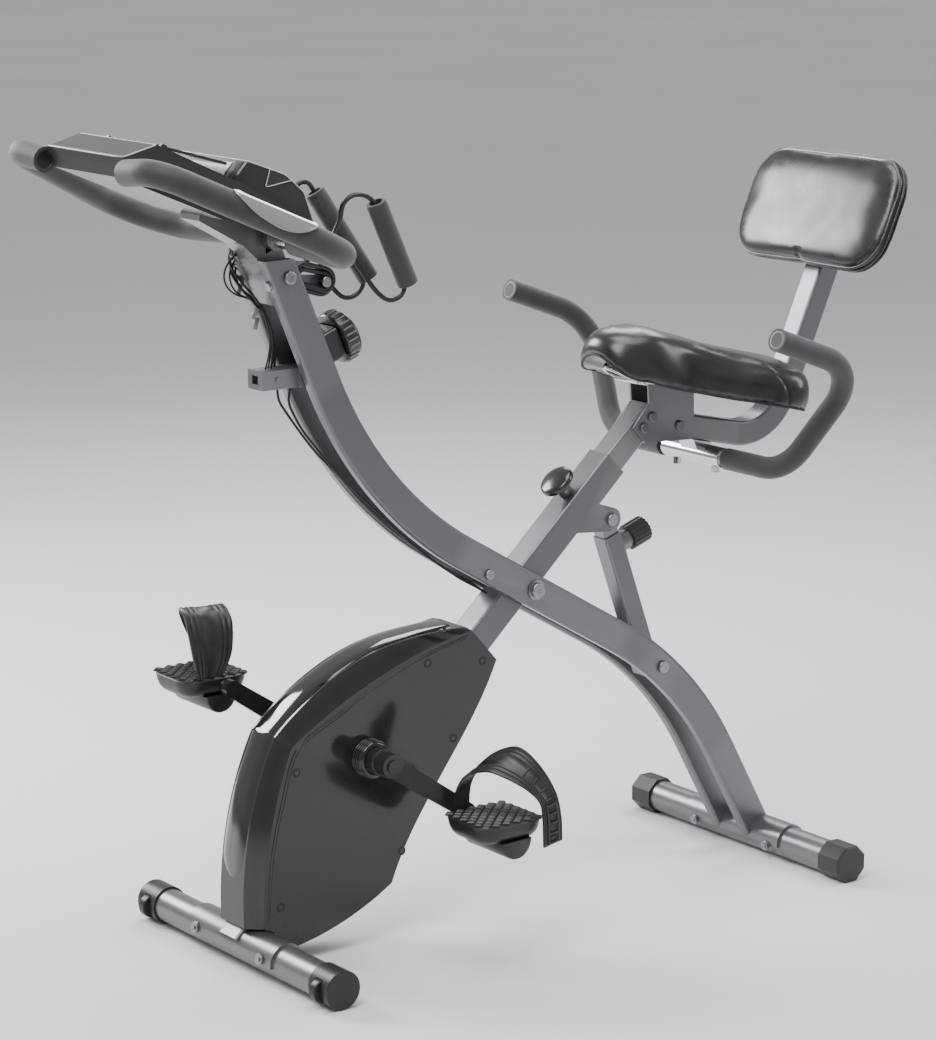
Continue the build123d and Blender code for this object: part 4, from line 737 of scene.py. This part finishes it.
def coil_route():
    """Nested oval turns round the bolt and the bracket, in millimetres."""
    rear, front = Vector((COIL_REAR[0], 0, COIL_REAR[1])), Vector((COIL_FRONT[0], 0, COIL_FRONT[1]))
    along = (front - rear).normalized()
    up = Vector((-along.z, 0, along.x))
    turn = [(front, -60), (front, -20), (front, 20), (front, 60), (front, 95), (None, 1),
            (rear, 85), (rear, 120), (rear, 160), (rear, 200), (rear, 240), (rear, 275),
            (None, -1), (front, -95)]
    points = []
    for step in range(len(COIL_TURNS) * len(turn)):
        lap, place = divmod(step, len(turn))
        share = min(1, max(0, (place - 6) / 8))
        radius, across = COIL_TURNS[lap]
        next_radius, next_across = COIL_TURNS[min(lap + 1, len(COIL_TURNS) - 1)]
        radius += (next_radius - radius) * share
        across += (next_across - across) * share
        centre, angle = turn[place]
        if centre is None:
            middle = (rear + front) / 2 + up * radius * angle * 1.03
        else:
            a = math.radians(angle)
            middle = centre + (along * math.cos(a) + up * math.sin(a)) * radius * 1.06
        points.append((middle.x, across, middle.z))
    return points


def make_cord(name, points, node, material):
    """Exercise band along a route in millimetres."""
    piece = tube(name, route(points), BAND_RADIUS, sides=5)
    piece.data.materials.append(material)
    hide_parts(node)
    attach(piece, frame_body(node))


# ---------------------------------------------------------------- pedals and straps
STRAP_STATIONS = {
    1: [(152, 38, 13.6, 12, 13.6), (154, 36, 38, 8, 52), (166, 28, 63, -12, 84),
        (190, 12, 74, -32, 102), (212, -2, 69, -42, 102), (240, -22, 54, -52, 80),
        (258, -34, 36, -62, 48), (263, -36, 10, -68, 12), (265, -36, -28, -68, -22)],
    -1: [(152, 40, 13.6, 0, 13.6), (154, 46, 40, -18, 44), (162, 48, 72, -26, 82),
         (178, 46, 101, -30, 99), (200, 40, 109, -34, 105), (225, 26, 95, -40, 92),
         (248, 0, 60, -52, 66), (261, -26, 26, -64, 28), (263, -36, -22, -68, -20)],
}
CRANK, CRANK_LENGTH, CRANK_ANGLE = (-180, 283), 142, 35


def spindle(side):
    """The pedal's axis: the left one is behind and below the crank, the right one ahead and above."""
    end = heading(CRANK_ANGLE + (180 if side > 0 else 0)) * CRANK_LENGTH
    return CRANK[0] + end.x, CRANK[1] + end.z


def strap_surface(side):
    """Points along the strap's two edges, with the way out of its upper face at each."""
    x, z = spindle(side)
    front = smooth_line([(x + fx, side * out, z + fz) for out, fx, fz, rx, rz in STRAP_STATIONS[side]], 8)
    rear = smooth_line([(x + rx, side * out, z + rz) for out, fx, fz, rx, rz in STRAP_STATIONS[side]], 8)
    last = len(front) - 1
    normals = []
    for i in range(last + 1):
        ahead, behind = (front[j] + rear[j] for j in (min(i + 1, last), max(i - 1, 0)))
        normals.append((ahead - behind).cross(rear[i] - front[i]).normalized())
    if normals[len(normals) // 2].z < 0:
        normals = [-normal for normal in normals]
    return list(zip(front, rear, normals))


# Share of the strap's width, and height above its middle, round its cross section.
STRAP_PROFILE = [
    (0.0, -1.4), (0.0, 1.6), (0.015, 2.6), (0.075, 2.6), (0.09, 1.2), (0.125, 1.2), (0.14, 2.4),
    (0.19, 2.4), (0.205, 1.2), (0.24, 1.2), (0.255, 2.2), (0.30, 2.2), (0.32, 1.2), (0.68, 1.2),
    (0.70, 2.2), (0.745, 2.2), (0.76, 1.2), (0.795, 1.2), (0.81, 2.4), (0.86, 2.4), (0.875, 1.2),
    (0.91, 1.2), (0.925, 2.6), (0.985, 2.6), (1.0, 1.6), (1.0, -1.4)]


def cross_bar(row, share, lift, deep, high, bevel):
    """Short bar across the strap at a row of its surface."""
    a, b, normal = row
    place = axes(spot(*((a + b) / 2 + normal * lift)), b - a, normal)
    return block("bar", ((b - a).length * share * MM, deep, high), place, bevel)


def make_strap(side, material):
    """Ribbed strap over the pedal, with low rungs, and a ladder plate on its outer end."""
    name = left_or_right(side)
    rows = strap_surface(side)
    rings = [[spot(*(a + (b - a) * t + normal * height)) for t, height in STRAP_PROFILE]
             for a, b, normal in rows]
    pieces = [loft(f"{name}_strap_band", rings)]
    pieces += [cross_bar(rows[-4 - 4 * step], 0.34, 1.4, 0.0026, 0.0026, 0.0007) for step in range(7)]
    stand_in(joined(f"{name}_strap_rubber", pieces), f"{name}_strap", material, 40)

    ladder = [cross_bar(rows[-2 - 3 * step], 0.52, 3.2, 0.0034, 0.0022, 0.0006) for step in range(5)]
    for share in (0.24, 0.76):
        line = [spot(*(a + (b - a) * share + normal * 3.0)) for a, b, normal in rows[-15:-1]]
        ladder.append(bar("rail", line, 0.0017, sides=2))
    finished(joined(f"{name}_strap_ladder", ladder), f"{name}_strap", material, 40)


PEDAL_Y, PEDAL_SIZE, PEDAL_FORWARD = 149, (114, 106), 5
STUD = (9.2, 8.6)       # pitch of the tread's studs along and across the pedal


def tread(place, half_length, half_width):
    """Close-set diamond studs over a slightly crowned deck, as one mesh."""
    points, faces = [], []
    for row in range(-7, 8):
        for column in range(-7, 8):
            dx, dy = row * STUD[0], column * STUD[1]
            past = max(0, abs(dx) - half_length + 22) ** 2 + max(0, abs(dy) - half_width + 22) ** 2
            if (row + column) % 2 or past > 17 ** 2:
                continue
            crown = 12.0 + 1.2 * (1 - (dx / half_length) ** 2)
            base = len(points)
            for size, level in ((0.90, crown - 2.5), (0.86, crown), (0.42, crown + 1.9)):
                for u, v in ((1, 0), (0, 1), (-1, 0), (0, -1)):
                    corner = Vector((dx + u * STUD[0] * size, dy + v * STUD[1] * size, level))
                    points.append(place @ (corner * MM))
            for ring in (0, 4):
                for i in range(4):
                    a, b = base + ring + i, base + ring + (i + 1) % 4
                    faces.append((a, b, b + 4, a + 4))
            faces.append(tuple(base + 8 + i for i in range(4)))
            faces.append(tuple(base + 3 - i for i in range(4)))
    return mesh_object("tread", points, faces, False)


def make_pedal(side, material):
    """Bowl-shaped pedal with a studded deck over its edge and a half-round weight below."""
    name = left_or_right(side)
    x, z = spindle(side)
    length, width = PEDAL_SIZE
    y = side * (PEDAL_Y + width / 2)
    place = Matrix.Translation(spot(x + PEDAL_FORWARD, y, z))

    def ring(inset, level):
        outline = rounded_outline(length - 2 * inset, width - 2 * inset, 30 - inset * 0.7, 8, 0)
        return [Vector((p.x, p.y, level * MM)) for p in outline]

    bowl = [(28, -17), (18, -16.9), (12, -15.5), (8, -12.5), (4.4, -8), (2.0, -2),
            (0.8, 4), (0.1, 8.2), (0, 9.4), (0.9, 10.6), (3.2, 11.0), (20, 11.4)]
    body = loft(f"{name}_pedal_shell", [ring(inset, level) for inset, level in bowl])
    body.data.transform(place)
    pieces = [body, tread(place, length / 2, width / 2)]
    weight = []
    for out, grow in ((-50, -3.2), (-49, -1.2), (-46, 0), (46, 0), (49, -1.2), (50, -3.2)):
        arc = [((26 + grow) * math.cos(math.radians(a)), -14 + (28.6 + grow) * math.sin(math.radians(a)))
               for a in range(180, 361, 8)]
        weight.append([spot(x + u, y + out, z + v) for u, v in arc])
    pieces.append(loft("weight", weight))
    stand_in(joined(f"{name}_pedal_body", pieces), f"{name}_pedal", material, 30)


# ---------------------------------------------------------------- console
CONSOLE_AT, CONSOLE_TILT = (-44, 1035.5), 24.5
POD_TOP_TILT = math.degrees(math.atan2(77 - 66, 54 - 16))


def console_spot(forward, side, up):
    """Point given in millimetres along, across and up from the console's base."""
    along, rise = heading(CONSOLE_TILT), heading(CONSOLE_TILT + 90)
    point = along * forward + rise * up
    return spot(CONSOLE_AT[0] + point.x, side, CONSOLE_AT[1] + point.z)


def pod_panel(name, rear, ahead, half, forward, up, thick, bevel):
    """Flat plate on the pod's sloping top, from its extent about a point."""
    outline = [(rear, -half), (ahead, -half), (ahead, half), (rear, half)]
    rings = [[Vector((x * MM, y * MM, level)) for x, y in outline] for level in (0, thick)]
    piece = loft(name, rings, False)
    rounded(piece, bevel)
    piece.data.transform(axes(console_spot(forward, 0, up), heading(CONSOLE_TILT + POD_TOP_TILT),
                              heading(CONSOLE_TILT + 90 + POD_TOP_TILT)))
    return piece


def pod_front_plate(name, sides, ups, lifts, smooth=False):
    """Thin plate on the pod's leaning front face."""
    outline = [(sides[0], ups[0]), (sides[0], ups[1]), (sides[1], ups[1]), (sides[1], ups[0])]
    rings = [[console_spot(130 - (up - 30) / 3 + lift, side, up + lift / 3) for side, up in outline]
             for lift in lifts]
    return loft(name, rings, smooth)


def painted_highlight_line(name, line, look, radius):
    """Thin pale bar along points given as forward, side and up on the console: a painted highlight on a
    moulded edge.
    """
    stops = []
    for start, end in zip(line, line[1:]):
        stops += [console_spot(*[s + (e - s) * t / 4 for s, e in zip(start, end)]) for t in range(4)]
    stops.append(console_spot(*line[-1]))
    finished(bar(name, stops, radius), "console_cover", look["edge"])


def make_console(look):
    """The display, the nose's glossy panel, the stand's plate and slot, and pale bars along the moulded edges
    as painted highlights.
    """
    node = "console_cover"
    finished(pod_panel("display_bezel", -17, 19, 58, 33, 71.4, 0.0016, 0.0007), node,
             look["gloss"])
    finished(pod_panel("display_window", -7, 5, 40, 25, 70.2, 0.0022, 0.0004), node,
             look["display"])

    slope = [(302, -94), (302, 94), (267, 94), (267, -94)]
    rings = [[console_spot(forward + lift * 0.65, side, 5 + (305 - forward) * 35 / 41 + lift * 0.76)
              for forward, side in slope] for lift in (-0.4, 0.9)]
    nose = loft("nose_panel", rings, False)
    rounded(nose, 0.0004)
    finished(nose, node, look["lacquer"])
    finished(pod_front_plate("stand_plate", (54, -40), (46, 66), (-0.5, 1.2)), node,
             look["pale"])
    finished(pod_front_plate("stand_slot", (78, 60), (40, 70), (-0.5, 0.8), True), node,
             look["dark"])

    # Painted highlights: pale bars along the nose, deck, cheek and pod edges.
    painted_highlight_line("nose_highlight", [(304.5, -96, 6), (304.5, 97, 6), (264.6, 97.4, 38.8)], look, 0.0011)
    painted_highlight_line("deck_highlight", [(264.5, -97, 39.2), (264.5, 97, 39.2)], look, 0.0007)
    for side in (-1, 1):
        name = left_or_right(side)
        inner = [console_spot(forward, side * 84, up) for forward, up in ((83, 76), (38, 75), (77, 47))]
        facet = [console_spot(forward, side * 87.2, up) for forward, up in ((80, 74), (42, 73), (77, 50))]
        finished(loft(f"pod_cheek_{name}", [inner, facet], False), node, look["shell"])
        y = side * 86.4
        painted_highlight_line(f"cheek_highlight_{name}", [(42, y + side, 73), (77, y + side, 50), (80, y + side, 74)],
                  look, 0.0007)
        painted_highlight_line(f"pod_highlight_{name}", [(116, y, 72), (54, y, 77), (16, y, 66), (-18, y, 31)], look, 0.0008)
    painted_highlight_line("pod_front_highlight", [(116, -85, 72.2), (116, 85, 72.2)], look, 0.0009)


# Place along the leaf, and share of its full width there.
LEAF_SHAPE = [(-0.5, 0.03), (-0.47, 0.30), (-0.40, 0.62), (-0.28, 0.90), (-0.14, 1.0), (0.02, 0.95),
              (0.18, 0.80), (0.32, 0.56), (0.43, 0.28), (0.5, 0.02)]
LEAF_LENGTH, LEAF_ANGLE, LEAF_RADIUS = 0.122, 150, 0.0178


def leaf_plate(name, centre, along, up):
    """Curved sensor plate: pointed at its front, widest towards the rear, with a thin raised lip."""
    side = up.cross(along).normalized()
    rings = []
    for station in smooth_line([(a, b, 0) for a, b in LEAF_SHAPE], 3):
        place = centre + along * station.x * LEAF_LENGTH
        half = math.radians(LEAF_ANGLE / 2 * max(station.y, 0.02))
        outer, inner = [], []
        for i in range(13):
            share = -1 + i / 6
            lip = 0.0006 if abs(share) > 0.8 else 0.0
            way = up * math.cos(half * share) + side * math.sin(half * share)
            outer.append(place + way * (LEAF_RADIUS + 0.0019 + lip))
            inner.append(place + way * (LEAF_RADIUS - 0.0008))
        rings.append(outer + list(reversed(inner)))
    return loft(name, rings)


def make_sensors(look):
    """Pulse plates on the handlebar's straight run, facing up and outwards."""
    start, end = Vector((-44, 293, 1022)), Vector((234, 187, 1156))
    along = (end - start).normalized()
    middle = start + along * 167
    pieces = []
    for side in (1, -1):
        line = Vector((along.x, along.y * side, along.z))
        up = Vector((-0.12, 0.52 * side, 0.84))
        up = (up - line * up.dot(line)).normalized()
        centre = spot(middle.x, side * middle.y, middle.z)
        pieces.append(leaf_plate(f"pulse_{left_or_right(side)}", centre, line, up))
    stand_in(joined("pulse_plates", pieces), "pulse_sensors", look["chrome"], 50)


# ---------------------------------------------------------------- knobs
DIAL_AT, DIAL_DIR, DIAL_RIBS = (-172, 886), 158, 26
MAIN_START, MAIN_HEADING, SEAT_KNOB_AT = (14, 28), 137, 830


def make_dial(look):
    """Tension knob: a dished core with ribs round it."""
    place = axes(spot(DIAL_AT[0], 0, DIAL_AT[1]), (0, 1, 0), heading(DIAL_DIR))
    profile = [(31, -13), (36, -12.6), (37.4, -11), (37.6, 6), (36.4, 9.5), (32, 12.2), (26, 13),
               (24.5, 11.8), (12, 11.4), (0.5, 11.4)]
    stand_in(turned("dial_core", profile, place, 72), "tension_dial", look["shell"], 40)
    ribs = []
    for step in range(DIAL_RIBS):
        a = 2 * math.pi * step / DIAL_RIBS
        middle = Vector((0.0366 * math.cos(a), 0.0366 * math.sin(a), -0.0022))
        local = Matrix.Translation(middle) @ Matrix.Rotation(a, 4, "Z")
        ribs.append(block("rib", (0.0042, 0.0026, 0.0165), place @ local, 0.001))
    finished(joined("dial_ribs", ribs), "tension_dial", look["rib"])


def make_seat_knob(look):
    """Smooth flat mushroom knob on a short neck, with the pin that enters the seat post."""
    profile = [(3.4, 20), (4, 20.6), (4, 36.4), (9, 36.4), (9, 42), (10.5, 43.6), (20, 44.6), (25.2, 45.6),
               (27, 47.4), (27.4, 50), (26.6, 53.4), (24, 55.6), (16, 57.2), (8, 57.8), (0.4, 58)]
    way = heading(MAIN_HEADING) * SEAT_KNOB_AT
    place = axes(spot(MAIN_START[0] + way.x, 0, MAIN_START[1] + way.z), (0, 1, 0), heading(MAIN_HEADING - 90))
    stand_in(turned("seat_knob_grip", profile, place, 72), "seat_knob", look["knob"], 50)


# ---------------------------------------------------------------- casing, cranks and bolts
CASE_FRONT = [(-1, 60), (-8, 160), (-25, 240), (-51, 317)]
CASE_TOP = [(-51, 317), (-120, 359), (-205, 398), (-285, 425), (-366, 441)]
CASE_SCREWS = [(-59, 280), (-287, 404), (-385, 393), (-332, 285), (-240, 131), (-30, 87)]
CASE_SIDE = 49
BOLT_SOCKETS = [(-400, 519, 49.8, 2.4), (-59, 981, 51, 3.0), (-730, 330, 51, 3.0), (-486, 484, 54.7, 3.6)]


def make_case_screws(look):
    """Sunk screws round each half of the casing."""
    cup = [(6.4, -2.4), (6.6, 0.2), (6.0, 0.6), (5.2, 0.4), (4.6, 0.12), (2.4, 0.12), (2.2, -0.5),
           (0.4, -0.5)]
    for side in (1, -1):
        name = left_or_right(side)
        for i, (x, z) in enumerate(CASE_SCREWS):
            piece = turned(f"{name}_screw_cup_{i}", cup, sideways(x, CASE_SIDE, z, side), 32)
            finished(piece, f"{name}_cover", look["dark"], 40)


def make_hub_detail(look):
    """Beaded ring on each hub cover, and the capped boss of each crank."""
    boss = [(18.5, 72), (19.6, 73.2), (20, 75), (20, 87), (18.8, 89.6), (15.4, 90.6), (14.4, 89.6),
            (13.6, 89.6), (13.0, 91.4), (9, 92.6), (0.4, 93)]
    for side in (1, -1):
        name = left_or_right(side)
        place = sideways(CRANK[0], 0, CRANK[1], side)
        beads = []
        for level in (52, 57, 62, 67):
            turns = [math.radians(a) for a in range(0, 360, 20)]
            ring = [place @ (Vector((27 * math.cos(a), 27 * math.sin(a), level)) * MM) for a in turns]
            beads.append(bar("bead", ring, 0.0016, closed=True, sides=3))
        finished(joined(f"{name}_hub_beads", beads), "hub_covers", look["gloss"])
        hub = turned(f"{name}_crank_boss", boss, place, 64)
        finished(hub, f"{name}_crank", look["crank"], 35)


def make_sockets(look):
    """Hex recesses in the heads of the bolts across the curved frame, on their left side."""
    pieces = []
    for x, z, reach, radius in BOLT_SOCKETS:
        rim = [(radius, -1.2), (radius, 0.12), (radius * 0.82, 0.12), (radius * 0.8, -0.6), (0.2, -0.6)]
        pieces.append(turned("socket", rim, sideways(x, reach, z, 1), 6))
    finished(joined("bolt_sockets", pieces), "curved_frame_bolts", look["dark"], 30)


def make_grip_ends(look):
    """Pressed-in end caps of the handlebar and of the side handles."""
    ends = [("handlebar_grips", (234, 187, 1156), (231, 108, 1148), 15.6, "plain"),
            ("side_handle_grips", (-873, 311, 808), (-711, 315, 868), 14.8, "cap")]
    for node, before, end, radius, finish in ends:
        rim = [(radius - 3, -2), (radius, -0.6), (radius + 0.2, 0.5), (radius - 0.8, 1.3),
               (radius - 3.4, 1.5), (radius - 4, 0.9), (0.4, 0.9)]
        caps = []
        for side in (1, -1):
            a, b = (spot(x, side * y, z) for x, y, z in (before, end))
            way = (b - a).normalized()
            caps.append(turned("cap", rim, axes(b + way * 0.0016, way.orthogonal(), way), 40))
        finished(joined(f"{node}_caps", caps), node, look[finish], 40)


def make_case_beads(look):
    """Raised beads that follow the front and top edges of each side of the casing."""
    centre = Vector((-190, 250, 0))
    for side in (1, -1):
        name = left_or_right(side)
        beads = []
        for inset, radius in ((9, 0.0011), (14, 0.0007)):
            corners = [Vector((x, z, 0)) for x, z in CASE_FRONT + CASE_TOP[1:]]
            line = smooth_line([p + (centre - p).normalized() * inset for p in corners], 4)
            line = [spot(p.x, side * (CASE_SIDE + 0.1), p.y) for p in line]
            beads.append(bar("bead", line, radius, sides=2))
        finished(joined(f"{name}_case_beads", beads), f"{name}_cover", look["gloss"])


SPINE_FRONT = [(20, 60), (16, 160), (-3, 250), (-36, 331)]
SPINE_TOP = [(-36, 331), (-106, 384), (-198, 426), (-288, 441), (-370, 444)]
TRIM_FOOT, TRIM_TAIL, TRIM_WIDTH = 128, -352, 28.5


def make_trim(look):
    """Glossy band over the casing's spine, with a round lower end and a crease at its corner."""
    front = [p for p in smooth_line([(x, z, 0) for x, z in SPINE_FRONT], 14) if p.y > TRIM_FOOT]
    top = [p for p in smooth_line([(x, z, 0) for x, z in SPINE_TOP], 14) if p.x > TRIM_TAIL]
    line = front + top[1:]
    reach = sum((b - a).length for a, b in zip(line, line[1:]))
    rings = []
    run = 0.0
    for i, point in enumerate(line):
        if i:
            run += (point - line[i - 1]).length
        ahead, behind = line[min(i + 1, len(line) - 1)], line[max(i - 1, 0)]
        along = (ahead - behind).normalized()
        out = Vector((along.y, -along.x, 0))
        foot = min(1, (run + 1.5) / 34)
        tail = min(1, (reach - run + 1.5) / 26)
        half = TRIM_WIDTH * math.sqrt(1 - (1 - foot) ** 2) * (0.72 + 0.28 * math.sqrt(1 - (1 - tail) ** 2))
        crown = 4.9 * min(1, 0.35 + 0.65 * foot)
        section = [(k / 8 - 1, -0.6 + crown * (1 - abs(k / 8 - 1) ** 3.4)) for k in range(17)]
        section += [(0.98, -2.2), (-0.98, -2.2)]
        rings.append([spot(point.x + out.x * rise, share * half, point.y + out.y * rise)
                      for share, rise in section])
    stand_in(loft("spine_trim", rings), "cover_trim", look["lacquer"], 40)


# ---------------------------------------------------------------- leads and rails
def make_harness(look):
    """Thin wires and their plugs that fan from under the console into the lead box."""
    wires = []
    for i, (x, y, z) in enumerate([(-46, -60, 1017), (-50, -52, 1014), (-38, -40, 1010), (-30, -34, 1012)]):
        bow = 6 + 5 * i
        line = [(x, y, z), (x + 16 + bow, y + 12, z - 16), (x + 18 + bow, y + 26, z - 52),
                (-30 - 3 * i, 14 - 6 * i, 946), (-46 - 4 * i, 13 - 6 * i, 908),
                (-50 - 5 * i, 10 - 5 * i, 878), (-42 - 8 * i, 8 - 5 * i, 851)]
        wires.append(bar("wire", route(line), 0.0013, sides=2))
    finished(joined("lead_harness", wires), "mast_cables", look["dark"])
    plugs = []
    for x, y, z, tilt in ((-16, -16, 962, 70), (-27, 6, 930, 58), (-36, -6, 914, 74)):
        place = axes(spot(x, y, z), (0, 1, 0), heading(180 - tilt))
        plugs.append(block("plug", (0.0075, 0.0055, 0.017), place, 0.001))
    finished(joined("lead_plugs", plugs), "mast_cables", look["cap"], 40)


def make_saddle_rails(look):
    """Bent steel rails and their cross clamp under the saddle's nose."""
    place = seat_place()
    line = [(150, 24, 9), (110, 24, 6), (70, 22, 6), (40, 16, 14), (32, 0, 17), (40, -16, 14), (70, -22, 6),
            (110, -24, 6), (150, -24, 9)]
    rail = bar("rail", [place @ (Vector(p) * MM) for p in line], 0.0034)
    clamp = block("clamp", (0.022, 0.058, 0.012), place @ Matrix.Translation(Vector((84, 0, 6)) * MM), 0.002)
    finished(joined("saddle_rails", [rail, clamp]), "seat_cushion", look["chrome"], 40)


# ---------------------------------------------------------------- the CAD nodes' own finish
def dress_nodes(look):
    """Gives each CAD node its material."""
    finish = {
        "frame": ["main_frame", "front_stabilizer", "sleeve_collar", "left_beam", "right_beam", "mast_head",
                  "rear_saddle", "rear_stabilizer", "seat_bracket", "strut_outer", "back_support",
                  "magnet_bracket"],
        # Seat post, inner strut and cable box take a lighter copy of the frame paint: painted light on their
        # lit upper faces.
        "lit_frame": ["seat_post", "strut_inner", "cable_box"],
        "zinc": ["main_frame_bolts", "curved_frame_bolts", "crank_bearings", "crank_axle"],
        "bar": ["handlebar", "side_handle_bar"],
        "chrome": ["handle_clamp"],
        "iron": ["flywheel"],
        "crank": ["left_crank", "right_crank"],
        "gloss": ["left_cover", "right_cover", "hub_covers"],
        "shell": ["console_base", "console_cover", "tension_housing", "tablet_flap"],
        "plain": ["drive_pulley", "front_end_caps", "left_rear_cap", "right_rear_cap", "left_roller",
                  "right_roller", "strut_knob", "seat_knob", "console_button_1", "console_button_2",
                  "console_button_3"],
        "dark": ["drive_belt", "mast_cables"],
        "foam": ["side_handle_grips", "handlebar_grips", "band_grips"],
    }
    for key, names in finish.items():
        for name in names:
            node = frame["nodes"][name]
            if not node.material_slots:
                node.data.materials.append(look[key])
            for material_slot in node.material_slots:
                material_slot.material = look[key]


def make_looks():
    """Every material, by the name that the other functions use."""
    return {
        "frame": paint("frame_paint", (0.135, 0.138, 0.146), 0.33, 0.72),
        # Lighter copy of the frame paint: painted light on the lit upper tubes.
        "lit_frame": paint("frame_paint_lit", (0.175, 0.178, 0.186), 0.30, 0.78),
        "zinc": metal("zinc", (0.30, 0.305, 0.32), 0.32),
        "bar": metal("bar_steel", (0.60, 0.61, 0.63), 0.24),
        "chrome": metal("chrome", (0.56, 0.57, 0.59), 0.15, 400),
        "iron": metal("flywheel_iron", (0.24, 0.24, 0.25), 0.42),
        "crank": paint("crank_paint", (0.018, 0.019, 0.021), 0.26, 0.2),
        "gloss": plastic("case_gloss", (0.007, 0.0072, 0.008), 0.13, 0.02, 120, 0.25, 0.42),
        "lacquer": plastic("trim_lacquer", (0.006, 0.006, 0.007), 0.07, 0.01, 90, 0.6, 0.6),
        "shell": plastic("shell_plastic", (0.010, 0.0104, 0.0115), 0.24, 0.04, 900, 0.2, 0.5),
        # Pale grey for the thin bars along the console's edges: painted highlights.
        "edge": plastic("painted_highlight_grey", (0.34, 0.345, 0.36), 0.22, 0.02, 300, 0.4, 0.6),
        "knob": plastic("knob_gloss", (0.008, 0.008, 0.009), 0.2, 0.03, 500, 0.3, 0.5),
        "plain": plastic("black_plastic", (0.010, 0.010, 0.011), 0.40, 0.10, 1100, 0.0, 0.45),
        "rib": plastic("dial_rib", (0.10, 0.10, 0.11), 0.28, 0.05, 800, 0.2, 0.5),
        "pale": plastic("recess_pale", (0.42, 0.43, 0.44), 0.55, 0.1, 700),
        "cap": plastic("cap_grey", (0.16, 0.16, 0.165), 0.45, 0.08, 900),
        "dark": rubber("dark_rubber", (0.009, 0.009, 0.010)),
        "strap": rubber("strap_rubber", (0.014, 0.0145, 0.016), 0.36),
        "band": rubber("band_rubber", (0.010, 0.010, 0.011), 0.36),
        "foam": foam("foam", (0.020, 0.020, 0.021)),
        "leather": leather("seat_leather", (0.0075, 0.0075, 0.0085), 0.30),
        "thread": rubber("thread", (0.040, 0.040, 0.043), 0.7),
        "display": screen_glass(),
    }


# ---------------------------------------------------------------- the whole bike
make_camera()
make_stage()
looks = make_looks()
dress_nodes(looks)
make_cord("left_band_tube", LEFT_BAND, "left_band", looks["band"])
make_cord("right_band_tube", RIGHT_BAND, "right_band", looks["band"])
make_cord("band_windings", coil_route(), "band_coil", looks["band"])
make_seat(looks["leather"], looks["dark"])
make_backrest(looks["leather"], looks["thread"])
for side in (1, -1):
    make_pedal(side, looks["plain"])
    make_strap(side, looks["strap"])
for make in (make_console, make_sensors, make_dial, make_seat_knob, make_case_screws, make_hub_detail,
             make_sockets, make_grip_ends, make_case_beads, make_saddle_rails, make_trim, make_harness):
    make(looks)
